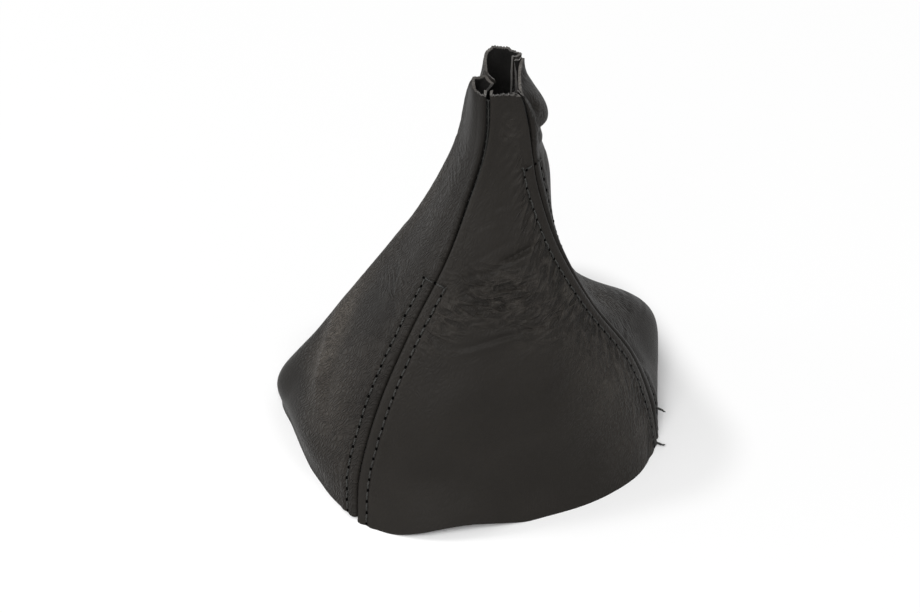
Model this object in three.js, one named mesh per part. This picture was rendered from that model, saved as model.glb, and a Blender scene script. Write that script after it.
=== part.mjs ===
import * as THREE from 'three';

// Sizes in millimetres. The gaiter stands on its hem, front towards -Y, neck up.
const height = 170;
const hemWidth = 138;
const hemDepth = 95;
const neckWidth = 17;
const neckDepth = 23;
const neckLean = [11.3, -8.7];

const leatherThickness = 1.2;
const allowanceWidth = 8;
const neckAllowanceWidth = 3;
const foldGap = 0.4;
const closedSeamGap = 0.3;
const openSeamGap = 1.4;
const seamStiffWidth = 7;

const stitchPitch = 4.6;
const stitchThreadDiameter = 0.8;
const seamThreadDiameter = 0.7;
const topstitchOffset = 5.2;
const stitchHoleDiameter = 0.4;
const threadClearance = 0.3;
const threadTailLength = 4.5;
const frontLeftTopstitchHeight = 96;
const frontRightTopstitchHeight = 139;
const rearRightTopstitchHeight = 105;
const rearLeftTopstitchHeight = 96;
const topstitchHemMargin = 3;
const looseTopstitchHemMargin = 12;

const shoulderSwelling = 12;
const shoulderDent = 12;
const frontHemLift = 5.5;
const leftHemLift = 1.6;

const panelNames = ['front', 'right', 'rear', 'left'];

// Each seam joins one panel to the next. The topstitching climbs to its own height, and the
// two runs start that far above the hem. Only the front right one has loose thread tails.
const seams = [
  {
    name: 'front_left', tails: false, topstitchHeight: frontLeftTopstitchHeight,
    hemMargins: [topstitchHemMargin, topstitchHemMargin],
  },
  {
    name: 'front_right', tails: true, topstitchHeight: frontRightTopstitchHeight,
    hemMargins: [topstitchHemMargin, looseTopstitchHemMargin],
  },
  {
    name: 'rear_right', tails: false, topstitchHeight: rearRightTopstitchHeight,
    hemMargins: [topstitchHemMargin, topstitchHemMargin],
  },
  {
    name: 'rear_left', tails: false, topstitchHeight: rearLeftTopstitchHeight,
    hemMargins: [topstitchHemMargin, topstitchHemMargin],
  },
];

// Cross levels from hem to neck. rise is a share of the height, spread goes from 0 at the neck's
// size to 1 at the hem's size (across, deep), and lean is the share of the neck's lean. The
// corners are the four seams as shares of the half sizes, and bulge is how far each panel's
// middle stands out of the straight line between its seams, as a share of that line.
const levels = [
  {
    rise: 0, spread: [1, 1], lean: [0, 0],
    corners: [[-1.0, -1.03], [0.98, -1.06], [0.99, 1.05], [-0.94, 0.96]],
    bulge: [0.19, 0.12, 0.14, 0.09],
  },
  {
    rise: 0.11, spread: [0.93, 0.91], lean: [0.15, 0],
    corners: [[-1.02, -0.93], [0.99, -1.03], [0.98, 1.1], [-0.98, 0.9]],
    bulge: [0.185, 0.19, 0.14, 0.16],
  },
  {
    rise: 0.28, spread: [0.73, 0.77], lean: [0.35, 0.08],
    corners: [[-1.09, -0.9], [0.98, -1.12], [0.98, 1.1], [-0.93, 0.72]],
    bulge: [0.18, 0.06, 0.14, 0.19],
  },
  {
    rise: 0.445, spread: [0.45, 0.61], lean: [0.47, 0.2],
    corners: [[-1.21, -0.87], [0.93, -1.16], [1.05, 1.1], [-0.86, 0.7]],
    bulge: [0.16, -0.035, 0.14, 0.18],
  },
  {
    rise: 0.61, spread: [0.22, 0.42], lean: [0.6, 0.42],
    corners: [[-1.27, -0.88], [0.87, -1.14], [1.16, 1.17], [-0.72, 0.75]],
    bulge: [0.12, 0.06, 0.15, 0.14],
  },
  {
    rise: 0.75, spread: [0.09, 0.23], lean: [0.83, 0.58],
    corners: [[-1.28, -0.83], [0.76, -1.14], [1.35, 1.22], [-0.7, 0.85]],
    bulge: [0.08, 0.17, 0.2, 0.12],
  },
  {
    rise: 0.835, spread: [0.05, 0.14], lean: [0.98, 0.64],
    corners: [[-1.19, -0.86], [0.64, -1.13], [1.4, 1.14], [-0.7, 0.85]],
    bulge: [0.05, 0.15, 0.28, 0.14],
  },
  {
    rise: 0.9, spread: [0.03, 0.08], lean: [1.02, 0.8],
    corners: [[-1.12, -0.85], [0.57, -1.14], [1.44, 1.11], [-0.7, 0.85]],
    bulge: [0, 0.26, 0.38, 0.19],
  },
  {
    rise: 0.955, spread: [0.01, 0.03], lean: [1.02, 0.9],
    corners: [[-1.16, -0.84], [0.47, -1.19], [1.56, 1.12], [-0.7, 0.75]],
    bulge: [-0.05, 0.15, 0.5, 0.26],
  },
  {
    rise: 1, spread: [0, 0], lean: [1, 1],
    corners: [[-1.18, -0.77], [0.29, -1.27], [1.72, 1.15], [-0.5, 0.5]],
    bulge: [-0.1, -0.04, 0.59, 0.38],
  },
];
const lastLevel = levels.length - 1;
const rowsPerLevel = 3;
const rowCount = lastLevel * rowsPerLevel + 1;

// How full the arch of a bulging panel is between its seams, and where its shape is set.
const archFullness = [4, 2.1, 2.2, 4];
const archSkews = [1, 1, 0.65, 0.6];
const archShares = [0, 0.12, 0.31, 0.5, 0.69, 0.88];

// Soft swellings, and dents where out is below 0. across and rise place the middle, halfAcross
// and halfRise say how far it spreads, all as shares of the panel's width and of the height. It
// fades out beside a seam.
const swellings = [
  {
    panel: 'right', across: 0.54, rise: 0.19, halfAcross: 0.34, halfRise: 0.14,
    out: shoulderSwelling,
  },
  {
    panel: 'right', across: 0.83, rise: 0.245, halfAcross: 0.42, halfRise: 0.12,
    out: -shoulderDent,
  },
];
const swellingEdgeFade = [0.05, 0.18];

// Where the cut hem stands off the floor, as shares of a panel's width.
const hemLifts = [
  { panel: 'front', across: 0.3, halfAcross: 0.2, lift: frontHemLift },
  { panel: 'left', across: 1, halfAcross: 0.3, lift: leftHemLift },
];
const hemLiftFade = 0.2;

const foldRadius = leatherThickness + foldGap / 2;
const innerFoldRadius = foldGap / 2;

const bell = (offset) => (offset * offset < 1 ? (1 - offset * offset) ** 2 : 0);
const ease = (value, from, to) => THREE.MathUtils.smoothstep(value, from, to);

const seamCurves = seams.map((seam, index) => {
  const points = levels.map(({ rise, spread, lean, corners }) => {
    const halfWidth = THREE.MathUtils.lerp(neckWidth, hemWidth, spread[0]) / 2;
    const halfDepth = THREE.MathUtils.lerp(neckDepth, hemDepth, spread[1]) / 2;
    const [across, deep] = corners[index];
    return new THREE.Vector3(
      neckLean[0] * lean[0] + across * halfWidth,
      neckLean[1] * lean[1] + deep * halfDepth,
      rise * height,
    );
  });
  return new THREE.CatmullRomCurve3(points, false, 'catmullrom');
});

const bulgeCurves = panelNames.map((name, index) => new THREE.SplineCurve(
  levels.map((level, step) => new THREE.Vector2(step, level.bulge[index])),
));

// The closed line around the gaiter at one level, through all four seams.
function ringAt(t) {
  const corners = seamCurves.map((curve) => curve.getPoint(t));
  const points = [];
  corners.forEach((corner, index) => {
    const next = corners[(index + 1) % corners.length];
    const along = next.clone().sub(corner);
    const outward = new THREE.Vector3(along.y, -along.x, 0).normalize();
    const bulge = bulgeCurves[index].getPoint(t).y * along.length();
    archShares.forEach((share) => {
      const arch = 1 - Math.abs(2 * share ** archSkews[index] - 1) ** archFullness[index];
      points.push(corner.clone().addScaledVector(along, share).addScaledVector(outward, bulge * arch));
    });
  });
  return new THREE.CatmullRomCurve3(points, true, 'centripetal');
}

// One panel's line at one level, from its left seam to its right one, with its swellings, as
// points with their distance from the left seam.
const lineSteps = 60;
function panelLine(panel, ring, t) {
  const name = panelNames[panel];
  const points = [];
  for (let step = 0; step <= lineSteps; step += 1) {
    const share = step / lineSteps;
    const along = (panel + share) / panelNames.length % 1;
    const point = ring.getPoint(along);
    const tangent = ring.getTangent(along);
    const outward = new THREE.Vector3(tangent.y, -tangent.x, 0).normalize();
    const rise = point.z / height;
    const edgeFade = ease(Math.min(share, 1 - share), ...swellingEdgeFade);
    swellings.filter((swelling) => swelling.panel === name).forEach((swelling) => {
      const size = bell((share - swelling.across) / swelling.halfAcross)
        * bell((rise - swelling.rise) / swelling.halfRise);
      point.addScaledVector(outward, swelling.out * size * edgeFade);
    });
    hemLifts.filter((hem) => hem.panel === name).forEach((hem) => {
      const fade = 1 - ease(rise, 0, hemLiftFade);
      point.z += hem.lift * bell((share - hem.across) / hem.halfAcross) * fade;
    });
    points.push(point);
  }
  const distances = [0];
  for (let step = 1; step <= lineSteps; step += 1) {
    distances.push(distances[step - 1] + points[step].distanceTo(points[step - 1]));
  }
  return { points, distances, length: distances[lineSteps] };
}

function pointOnLine(line, distance) {
  const target = THREE.MathUtils.clamp(distance, 0, line.length);
  let step = 1;
  while (step < lineSteps && line.distances[step] < target) step += 1;
  const from = line.distances[step - 1];
  const share = (target - from) / (line.distances[step] - from);
  return line.points[step - 1].clone().lerp(line.points[step], share);
}

// The outward direction at a seam, shared by the two panels that meet there.
function seamNormal(seam, ring, t) {
  const around = ring.getTangent(seam / seams.length);
  const upward = seamCurves[seam].getTangent(t);
  if (t === 0) upward.set(0, 0, 1);
  return around.cross(upward).normalize();
}

// All that the leather and the threads need to know of one row of one panel. Above its
// topstitching an allowance comes to stand inwards within a share of the height, and it is
// trimmed narrower between two shares of it.
const standingRise = 0.25;
const trimRise = [0.6, 0.95];
const slopeStep = 0.008;
const slopeReach = 0.02;
function makeRow(panel, t) {
  const ring = ringAt(t);
  const line = panelLine(panel, ring, t);
  const lowT = Math.max(0, t - slopeStep);
  const highT = Math.min(1, t + slopeStep);
  const lowLine = panelLine(panel, ringAt(lowT), lowT);
  const highLine = panelLine(panel, ringAt(highT), highT);
  const leftNormal = seamNormal(panel, ring, t);
  const rightNormal = seamNormal((panel + 1) % seams.length, ring, t);
  const rise = line.points[0].z;
  const openness = [panel, (panel + 1) % seams.length].map((seam) => {
    const top = seams[seam].topstitchHeight / height;
    return ease(rise / height, top, top + standingRise);
  });
  const trim = ease(rise / height, ...trimRise);
  const allowance = THREE.MathUtils.lerp(allowanceWidth, neckAllowanceWidth, trim);
  return { t, line, lowLine, highLine, leftNormal, rightNormal, openness, allowance };
}

function normalAt(row, distance) {
  const { line, lowLine, highLine } = row;
  const share = distance / line.length;
  const reach = line.length * slopeReach;
  const around = pointOnLine(line, distance + reach).sub(pointOnLine(line, distance - reach));
  const upward = pointOnLine(highLine, share * highLine.length)
    .sub(pointOnLine(lowLine, share * lowLine.length));
  if (row.t === 0) upward.set(0, 0, 1);
  const normal = around.cross(upward).normalize();
  const fromEdge = foldRadius + openSeamGap / 2;
  const left = 1 - ease(distance, fromEdge, fromEdge + seamStiffWidth);
  const right = 1 - ease(line.length - distance, fromEdge, fromEdge + seamStiffWidth);
  return normal.multiplyScalar(Math.max(0, 1 - left - right))
    .addScaledVector(row.leftNormal, left)
    .addScaledVector(row.rightNormal, right)
    .normalize();
}

function placeOnRow(row, distance, depth) {
  const point = pointOnLine(row.line, distance).addScaledVector(normalAt(row, distance), -depth);
  if (row.t === 0) point.z = pointOnLine(row.line, distance).z;
  return point;
}

// The leather's section across one panel. At each seam the edge turns in over a rounded fold:
// pressed flat under the topstitching, and standing inwards above it. Each entry gives the
// distance from the seam and the depth of the grain side, then of the flesh side.
function foldedEdge(openness, allowance) {
  const turn = Math.PI * (1 - openness / 2);
  const start = THREE.MathUtils.lerp(closedSeamGap, openSeamGap, openness) / 2 + foldRadius;
  const point = (angle, radius, beyond) => [
    start - radius * Math.sin(angle) - beyond * Math.cos(angle),
    foldRadius - radius * Math.cos(angle) + beyond * Math.sin(angle),
  ];
  return [
    [turn, allowance],
    [turn, 0],
    [turn / 2, 0],
    [0, 0],
  ].map(([angle, beyond]) => [point(angle, foldRadius, beyond), point(angle, innerFoldRadius, beyond)]);
}

const middleColumns = 5;
const largestInset = 0.4;
function sectionOf(row) {
  const { length } = row.line;
  const left = foldedEdge(row.openness[0], row.allowance);
  const right = foldedEdge(row.openness[1], row.allowance)
    .map((pair) => pair.map(([distance, depth]) => [length - distance, depth]))
    .reverse();
  const inset = Math.min(topstitchOffset, length * largestInset);
  const middle = [];
  for (let column = 0; column <= middleColumns + 1; column += 1) {
    const distance = THREE.MathUtils.lerp(inset, length - inset, column / (middleColumns + 1));
    middle.push([[distance, 0], [distance, leatherThickness]]);
  }
  return [...left, ...middle, ...right];
}
const foldColumns = 4;
const topstitchColumn = foldColumns;

// A thick sheet from rows of paired points: grain side, flesh side, and the cut edges.
function sheetGeometry(rows) {
  const columns = rows[0].length;
  const positions = [];
  rows.forEach((row) => row.forEach(([grain, flesh]) => {
    positions.push(...grain.toArray(), ...flesh.toArray());
  }));
  const at = (row, column, side) => (row * columns + column) * 2 + side;
  const index = [];
  const quad = (a, b, c, d) => index.push(a, b, c, a, c, d);
  const lastRow = rows.length - 1;
  const lastColumn = columns - 1;
  for (let row = 0; row < lastRow; row += 1) {
    const above = row + 1;
    for (let column = 0; column < lastColumn; column += 1) {
      const next = column + 1;
      quad(at(row, column, 0), at(row, next, 0), at(above, next, 0), at(above, column, 0));
      quad(at(row, column, 1), at(above, column, 1), at(above, next, 1), at(row, next, 1));
    }
    quad(at(row, 0, 1), at(row, 0, 0), at(above, 0, 0), at(above, 0, 1));
    quad(at(row, lastColumn, 0), at(row, lastColumn, 1), at(above, lastColumn, 1), at(above, lastColumn, 0));
  }
  for (let column = 0; column < lastColumn; column += 1) {
    const next = column + 1;
    quad(at(0, column, 1), at(0, next, 1), at(0, next, 0), at(0, column, 0));
    quad(at(lastRow, column, 0), at(lastRow, next, 0), at(lastRow, next, 1), at(lastRow, column, 1));
  }
  const geometry = new THREE.BufferGeometry();
  geometry.setAttribute('position', new THREE.Float32BufferAttribute(positions, 3));
  geometry.setIndex(index);
  geometry.computeVertexNormals();
  return geometry;
}

// A thread from stations that hold a point, the direction away from the leather and a radius.
const threadSides = 4;
function threadGeometry(stations) {
  const positions = [];
  stations.forEach(({ point, outward, radius }, station) => {
    const before = stations[Math.max(0, station - 1)].point;
    const after = stations[Math.min(stations.length - 1, station + 1)].point;
    const along = after.clone().sub(before).normalize();
    const side = along.clone().cross(outward).normalize();
    const up = side.clone().cross(along);
    for (let corner = 0; corner < threadSides; corner += 1) {
      const angle = (corner + 0.5) / threadSides * 2 * Math.PI;
      positions.push(...point.clone()
        .addScaledVector(side, radius * Math.cos(angle))
        .addScaledVector(up, radius * Math.sin(angle))
        .toArray());
    }
  });
  const index = [];
  for (let station = 0; station < stations.length - 1; station += 1) {
    for (let corner = 0; corner < threadSides; corner += 1) {
      const next = (corner + 1) % threadSides;
      const a = station * threadSides + corner;
      const b = station * threadSides + next;
      index.push(a, a + threadSides, b, b, a + threadSides, b + threadSides);
    }
  }
  const last = (stations.length - 1) * threadSides;
  for (let corner = 1; corner < threadSides - 1; corner += 1) {
    index.push(0, corner, corner + 1);
    index.push(last, last + corner + 1, last + corner);
  }
  const geometry = new THREE.BufferGeometry();
  geometry.setAttribute('position', new THREE.Float32BufferAttribute(positions, 3));
  geometry.setIndex(index);
  geometry.computeVertexNormals();
  return geometry;
}

// The rows of every panel, and the leather's points on them.
const panelRows = panelNames.map((name, panel) => {
  const rows = [];
  for (let row = 0; row < rowCount; row += 1) rows.push(makeRow(panel, row / (rowCount - 1)));
  return rows;
});
const panelPoints = panelRows.map((rows) => rows.map((row) => sectionOf(row).map(
  (pair) => pair.map(([distance, depth]) => placeOnRow(row, distance, depth)),
)));

// A column of grain side points from the hem up, with the outward direction at each.
function columnPath(panel, column, fromRight) {
  return panelPoints[panel].map((points, row) => {
    const place = fromRight ? points.length - 1 - column : column;
    const outward = fromRight ? panelRows[panel][row].rightNormal : panelRows[panel][row].leftNormal;
    return { point: points[place][0], outward };
  });
}

function pathPoint(path, distance) {
  let walked = 0;
  for (let step = 1; step < path.length; step += 1) {
    const length = path[step].point.distanceTo(path[step - 1].point);
    if (walked + length >= distance || step === path.length - 1) {
      const share = (distance - walked) / length;
      return {
        point: path[step - 1].point.clone().lerp(path[step].point, share),
        outward: path[step - 1].outward.clone().lerp(path[step].outward, share).normalize(),
      };
    }
    walked += length;
  }
  return path[0];
}

function distanceAtHeight(path, level) {
  let walked = 0;
  for (let step = 1; step < path.length; step += 1) {
    const { point: low } = path[step - 1];
    const { point: high } = path[step];
    const length = high.distanceTo(low);
    if (high.z >= level) return walked + length * (level - low.z) / (high.z - low.z);
    walked += length;
  }
  return walked;
}

// One stitch is thick in its middle and thin where it dips towards its holes.
function stitchStation({ point, outward }, inHole) {
  const radius = (inHole ? stitchHoleDiameter : stitchThreadDiameter) / 2;
  return {
    point: point.clone().addScaledVector(outward, threadClearance + radius),
    outward,
    radius,
  };
}

function stitchRun(path, from, to) {
  const stitches = Math.max(1, Math.round((to - from) / stitchPitch));
  const stations = [];
  for (let step = 0; step <= stitches * 2; step += 1) {
    const distance = from + (to - from) * step / (stitches * 2);
    stations.push(stitchStation(pathPoint(path, distance), step % 2 === 0));
  }
  return stations;
}

// A loose end leaves the leather outwards and droops a little.
const tailDroop = new THREE.Vector3(0, 0, -0.3);
function tailFrom(station) {
  const direction = station.outward.clone().add(tailDroop).normalize();
  return {
    point: station.point.clone().addScaledVector(direction, threadTailLength),
    outward: new THREE.Vector3(0, 0, 1),
    radius: stitchHoleDiameter / 2,
  };
}

// A topstitching thread climbs beside the seam, crosses it and comes down on the other side.
function topstitchGeometry(seamIndex) {
  const { topstitchHeight, hemMargins, tails } = seams[seamIndex];
  const before = (seamIndex + panelNames.length - 1) % panelNames.length;
  const leftPath = columnPath(before, topstitchColumn, true);
  const rightPath = columnPath(seamIndex, topstitchColumn, false);
  const edges = [columnPath(before, foldColumns - 1, true), columnPath(seamIndex, foldColumns - 1, false)];
  const leftTop = distanceAtHeight(leftPath, topstitchHeight);
  const rightTop = distanceAtHeight(rightPath, topstitchHeight);
  const crossing = edges.map((path) => stitchStation(
    pathPoint(path, distanceAtHeight(path, topstitchHeight)),
    false,
  ));
  const climb = stitchRun(leftPath, hemMargins[0], leftTop);
  const descent = stitchRun(rightPath, hemMargins[1], rightTop).reverse();
  const stations = [...climb, ...crossing, ...descent];
  if (tails) {
    stations.unshift(tailFrom(stations[0]));
    stations.push(tailFrom(stations[stations.length - 1]));
  }
  return threadGeometry(stations);
}

// The thread that closes a seam lies between the two turned-in edges, and starts in from the hem.
const seamThreadDepth = foldRadius + seamThreadDiameter / 2 + threadClearance * 2;
const seamThreadHemInset = 1.2;
function seamThreadGeometry(seamIndex) {
  const stations = panelRows[seamIndex].map((row) => ({
    point: row.line.points[0].clone().addScaledVector(row.leftNormal, -seamThreadDepth),
    outward: row.leftNormal,
    radius: seamThreadDiameter / 2,
  }));
  stations[0] = { ...stations[0], ...pathPoint(stations, seamThreadHemInset) };
  return threadGeometry(stations);
}

const leather = new THREE.MeshStandardMaterial({ color: 0x33312f, roughness: 0.6, metalness: 0 });
const thread = new THREE.MeshStandardMaterial({ color: 0x1d1c1b, roughness: 0.7, metalness: 0 });

const group = new THREE.Group();
function addPart(name, geometry, material) {
  const mesh = new THREE.Mesh(geometry, material);
  mesh.name = name;
  group.add(mesh);
}

panelNames.forEach((name, panel) => addPart(`${name}_panel`, sheetGeometry(panelPoints[panel]), leather));
seams.forEach((seam, index) => {
  addPart(`${seam.name}_topstitch`, topstitchGeometry(index), thread);
  addPart(`${seam.name}_seam_thread`, seamThreadGeometry(index), thread);
});

// The origin is under the middle of the gaiter, on the surface that it stands on.
const centre = new THREE.Box3().setFromObject(group).getCenter(new THREE.Vector3());
group.position.set(-centre.x, -centre.y, 0);

export default group;
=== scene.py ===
import math

import bmesh
import bpy
import numpy as np
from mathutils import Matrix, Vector


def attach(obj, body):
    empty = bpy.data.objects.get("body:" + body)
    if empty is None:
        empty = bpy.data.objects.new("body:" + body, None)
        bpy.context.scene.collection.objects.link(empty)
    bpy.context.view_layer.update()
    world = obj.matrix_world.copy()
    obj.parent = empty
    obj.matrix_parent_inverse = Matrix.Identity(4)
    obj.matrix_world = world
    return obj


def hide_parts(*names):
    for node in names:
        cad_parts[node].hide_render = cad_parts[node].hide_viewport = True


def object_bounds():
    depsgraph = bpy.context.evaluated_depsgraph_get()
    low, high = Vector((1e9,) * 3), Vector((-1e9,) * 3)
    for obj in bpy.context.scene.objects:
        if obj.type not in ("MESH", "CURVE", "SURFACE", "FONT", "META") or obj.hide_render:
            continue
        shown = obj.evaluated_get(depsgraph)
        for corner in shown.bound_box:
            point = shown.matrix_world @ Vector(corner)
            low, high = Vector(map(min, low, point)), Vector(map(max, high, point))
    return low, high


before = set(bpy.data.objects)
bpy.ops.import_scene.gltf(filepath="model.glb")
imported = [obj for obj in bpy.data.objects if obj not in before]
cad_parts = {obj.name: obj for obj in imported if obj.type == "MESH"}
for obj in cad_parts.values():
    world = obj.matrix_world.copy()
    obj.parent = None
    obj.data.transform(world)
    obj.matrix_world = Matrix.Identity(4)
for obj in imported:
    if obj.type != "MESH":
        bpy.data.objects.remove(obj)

for leftover in ("Cube", "Light", "Camera"):  # what a new Blender file starts with
    if leftover in bpy.data.objects:
        bpy.data.objects.remove(bpy.data.objects[leftover])
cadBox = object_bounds()
mm = 0.001

gaiter = {  # millimetres; hem and neck are (across, deep)
    "height": 170, "hem": (138, 95), "neck": (17, 23), "neckLean": (11.3, -8.7),
    "leather": 1.2, "allowance": 8, "neckAllowance": 3, "foldGap": 0.4,
    "closedSeamGap": 0.3, "openSeamGap": 1.4, "seamStiff": 7,
    "topstitchPitch": 4.6, "topstitchOffset": 5.2,
}
foldRadius = gaiter["leather"] + gaiter["foldGap"] / 2  # of the grain side, where an edge is folded flat
seeds = {"hills": 20, "puckerDrift": 40, "puckerPatch": 50, "cut": 70, "nap": 72, "rim": 80,
         "looseEnd": 90, "stitches": 4}

panelNames = ["front", "right", "rear", "left"]

seams = [  # each joins one panel to the next, and its topstitching climbs to its own height
    {"name": "front_left", "top": 96, "hemMargins": (3, 3), "tails": False},
    {"name": "front_right", "top": 139, "hemMargins": (3, 12), "tails": True},
    {"name": "rear_right", "top": 105, "hemMargins": (3, 3), "tails": False},
    {"name": "rear_left", "top": 96, "hemMargins": (3, 3), "tails": False},
]

# Cross levels from hem to neck. spread goes from the neck's size to the hem's (across, deep), lean
# is a share of the neck's lean, corners are the seams as shares of the half sizes, and bulge is
# how far each panel's middle stands out, as a share of its width.
levels = [
    {"rise": 0, "spread": (1, 1), "lean": (0, 0), "bulge": (0.19, 0.12, 0.14, 0.09),
     "corners": ((-1, -1.03), (0.98, -1.06), (0.99, 1.05), (-0.94, 0.96))},
    {"rise": 0.11, "spread": (0.93, 0.91), "lean": (0.15, 0), "bulge": (0.185, 0.19, 0.14, 0.16),
     "corners": ((-1.02, -0.93), (0.99, -1.03), (0.98, 1.1), (-0.98, 0.9))},
    {"rise": 0.28, "spread": (0.73, 0.77), "lean": (0.35, 0.08), "bulge": (0.18, 0.06, 0.14, 0.19),
     "corners": ((-1.09, -0.9), (0.98, -1.12), (0.98, 1.1), (-0.93, 0.72))},
    {"rise": 0.445, "spread": (0.45, 0.61), "lean": (0.47, 0.2), "bulge": (0.16, -0.035, 0.14, 0.18),
     "corners": ((-1.21, -0.87), (0.93, -1.16), (1.05, 1.1), (-0.86, 0.7))},
    {"rise": 0.61, "spread": (0.22, 0.42), "lean": (0.6, 0.42), "bulge": (0.12, 0.06, 0.15, 0.14),
     "corners": ((-1.27, -0.88), (0.87, -1.14), (1.16, 1.17), (-0.72, 0.75))},
    {"rise": 0.75, "spread": (0.09, 0.23), "lean": (0.83, 0.58), "bulge": (0.08, 0.17, 0.2, 0.12),
     "corners": ((-1.28, -0.83), (0.76, -1.14), (1.35, 1.22), (-0.7, 0.85))},
    {"rise": 0.835, "spread": (0.05, 0.14), "lean": (0.98, 0.64), "bulge": (0.05, 0.15, 0.28, 0.14),
     "corners": ((-1.19, -0.86), (0.64, -1.13), (1.4, 1.14), (-0.7, 0.85))},
    {"rise": 0.9, "spread": (0.03, 0.08), "lean": (1.02, 0.8), "bulge": (0, 0.26, 0.38, 0.19),
     "corners": ((-1.12, -0.85), (0.57, -1.14), (1.44, 1.11), (-0.7, 0.85))},
    {"rise": 0.955, "spread": (0.01, 0.03), "lean": (1.02, 0.9), "bulge": (-0.05, 0.15, 0.5, 0.26),
     "corners": ((-1.16, -0.84), (0.47, -1.19), (1.56, 1.12), (-0.7, 0.75))},
    {"rise": 1, "spread": (0, 0), "lean": (1, 1), "bulge": (-0.1, -0.04, 0.59, 0.38),
     "corners": ((-1.18, -0.77), (0.29, -1.27), (1.72, 1.15), (-0.5, 0.5))},
]

# Each panel's arch between its seams: a greater fullness gives a flatter top, and a skew below 1
# moves the top towards the left seam. shares are the places across a panel that the arch goes through.
arch = {"fullness": (4, 2.1, 2.2, 4), "skews": (1, 1, 0.65, 0.6),
        "shares": (0, 0.12, 0.31, 0.5, 0.69, 0.88)}
swellings = [  # shares of the panel's width and of the height; out in millimetres
    {"panel": "right", "across": 0.54, "rise": 0.19, "halfAcross": 0.34, "halfRise": 0.14, "out": 12},
    {"panel": "right", "across": 0.83, "rise": 0.245, "halfAcross": 0.42, "halfRise": 0.12, "out": -12},
]
swellingEdgeFade = (0.05, 0.18)  # shares of the width, from a seam inwards, where a swelling sets in
hemLifts = [
    {"panel": "front", "across": 0.3, "halfAcross": 0.2, "lift": 5.5},
    {"panel": "left", "across": 1, "halfAcross": 0.3, "lift": 1.6},
]
hemLiftFade = 0.2  # share of the height where the hem's lifts end
standingRise = 0.25  # share of the height in which the allowances come to stand, above the topstitching
trimRise = (0.6, 0.95)  # shares of the height between which the allowances are trimmed narrower


def ease(value, low, high):
    x = np.clip((np.asarray(value, float) - low) / (high - low), 0, 1)
    return x * x * (3 - 2 * x)


def bell(offset):
    return np.clip(1 - np.asarray(offset, float) ** 2, 0, None) ** 2


def lerp(low, high, share):
    return low + (high - low) * share


def unit(vectors):
    return vectors / np.maximum(np.linalg.norm(vectors, axis=-1, keepdims=True), 1e-12)


def hermite(low, high, lowSlope, highSlope, w):
    return (low + lowSlope * w + (3 * (high - low) - 2 * lowSlope - highSlope) * w ** 2
            + (2 * (low - high) + lowSlope + highSlope) * w ** 3)


def throughPoints(points, t, extend=True):
    # a smooth curve through points; its ends run straight on, or level out
    points = np.asarray(points, float)
    first = 2 * points[0] - points[1] if extend else points[0]
    final = 2 * points[-1] - points[-2] if extend else points[-1]
    padded = np.concatenate([[first], points, [final]])
    place = np.clip(np.asarray(t, float), 0, 1) * (len(points) - 1)
    index = np.minimum(place.astype(int), len(points) - 2)
    w = (place - index)[..., None]
    before, low, high, after = (padded[index + k] for k in range(4))
    return hermite(low, high, (high - before) / 2, (after - low) / 2, w)


def seamPoints(t):
    hem, neck, lean = (np.array(gaiter[key], float) for key in ("hem", "neck", "neckLean"))
    curves = []
    for seam in range(len(seams)):
        points = []
        for level in levels:
            half = lerp(neck, hem, np.array(level["spread"])) / 2
            middle = lean * level["lean"]
            corner = middle + np.array(level["corners"][seam]) * half
            points.append([*corner, level["rise"] * gaiter["height"]])
        curves.append(throughPoints(points, t))
    return np.stack(curves, axis=1)


def ringPoints(t):
    # the points that the closed line around the gaiter passes through, for each t
    corners = seamPoints(t)
    ring = []
    for panel in range(len(panelNames)):
        corner = corners[:, panel]
        along = corners[:, (panel + 1) % len(seams)] - corner
        outward = unit(np.stack([along[:, 1], -along[:, 0], np.zeros(len(along))], axis=1))
        bulge = throughPoints([[level["bulge"][panel]] for level in levels], t, extend=False)
        bulge = bulge * np.linalg.norm(along, axis=1, keepdims=True)
        for share in arch["shares"]:
            full = 1 - abs(2 * share ** arch["skews"][panel] - 1) ** arch["fullness"][panel]
            ring.append(corner + along * share + outward * bulge * full)
    return np.stack(ring, axis=1)


def aroundRing(ring, along):
    # the closed curve through each ring's points, at shares of one turn
    count = ring.shape[1]
    place = np.mod(along, 1) * count
    index = np.floor(place).astype(int)
    w = (place - index)[None, :, None]
    before, low, high, after = (ring[:, (index + k) % count] for k in (-1, 0, 1, 2))
    gaps = [np.sqrt(np.linalg.norm(b - a, axis=-1, keepdims=True))
            for a, b in ((before, low), (low, high), (high, after))]
    lowSlope = (low - before) / gaps[0] - (high - before) / (gaps[0] + gaps[1]) + (high - low) / gaps[1]
    highSlope = (high - low) / gaps[1] - (after - low) / (gaps[1] + gaps[2]) + (after - high) / gaps[2]
    return hermite(low, high, lowSlope * gaps[1], highSlope * gaps[1], w)


def smoothPanel(panel, t, share):
    # a panel's grain side without its wrinkles: rows of points, and the direction along each row
    ring = ringPoints(t)
    step = 0.0005
    along = (panel + share) / len(panelNames)
    points = aroundRing(ring, along)
    tangent = unit(aroundRing(ring, along + step) - aroundRing(ring, along - step))
    outward = unit(np.stack([tangent[..., 1], -tangent[..., 0], np.zeros(tangent.shape[:2])], axis=-1))
    rise = points[..., 2] / gaiter["height"]
    edgeFade = ease(np.minimum(share, 1 - share), *swellingEdgeFade)
    for s in swellings:
        if s["panel"] == panelNames[panel]:
            size = bell((share - s["across"]) / s["halfAcross"]) * bell((rise - s["rise"]) / s["halfRise"])
            points = points + outward * (s["out"] * size * edgeFade)[..., None]
    for hem in hemLifts:
        if hem["panel"] == panelNames[panel]:
            fade = 1 - ease(rise, 0, hemLiftFade)
            points[..., 2] += hem["lift"] * bell((share - hem["across"]) / hem["halfAcross"]) * fade
    return points, tangent


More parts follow.
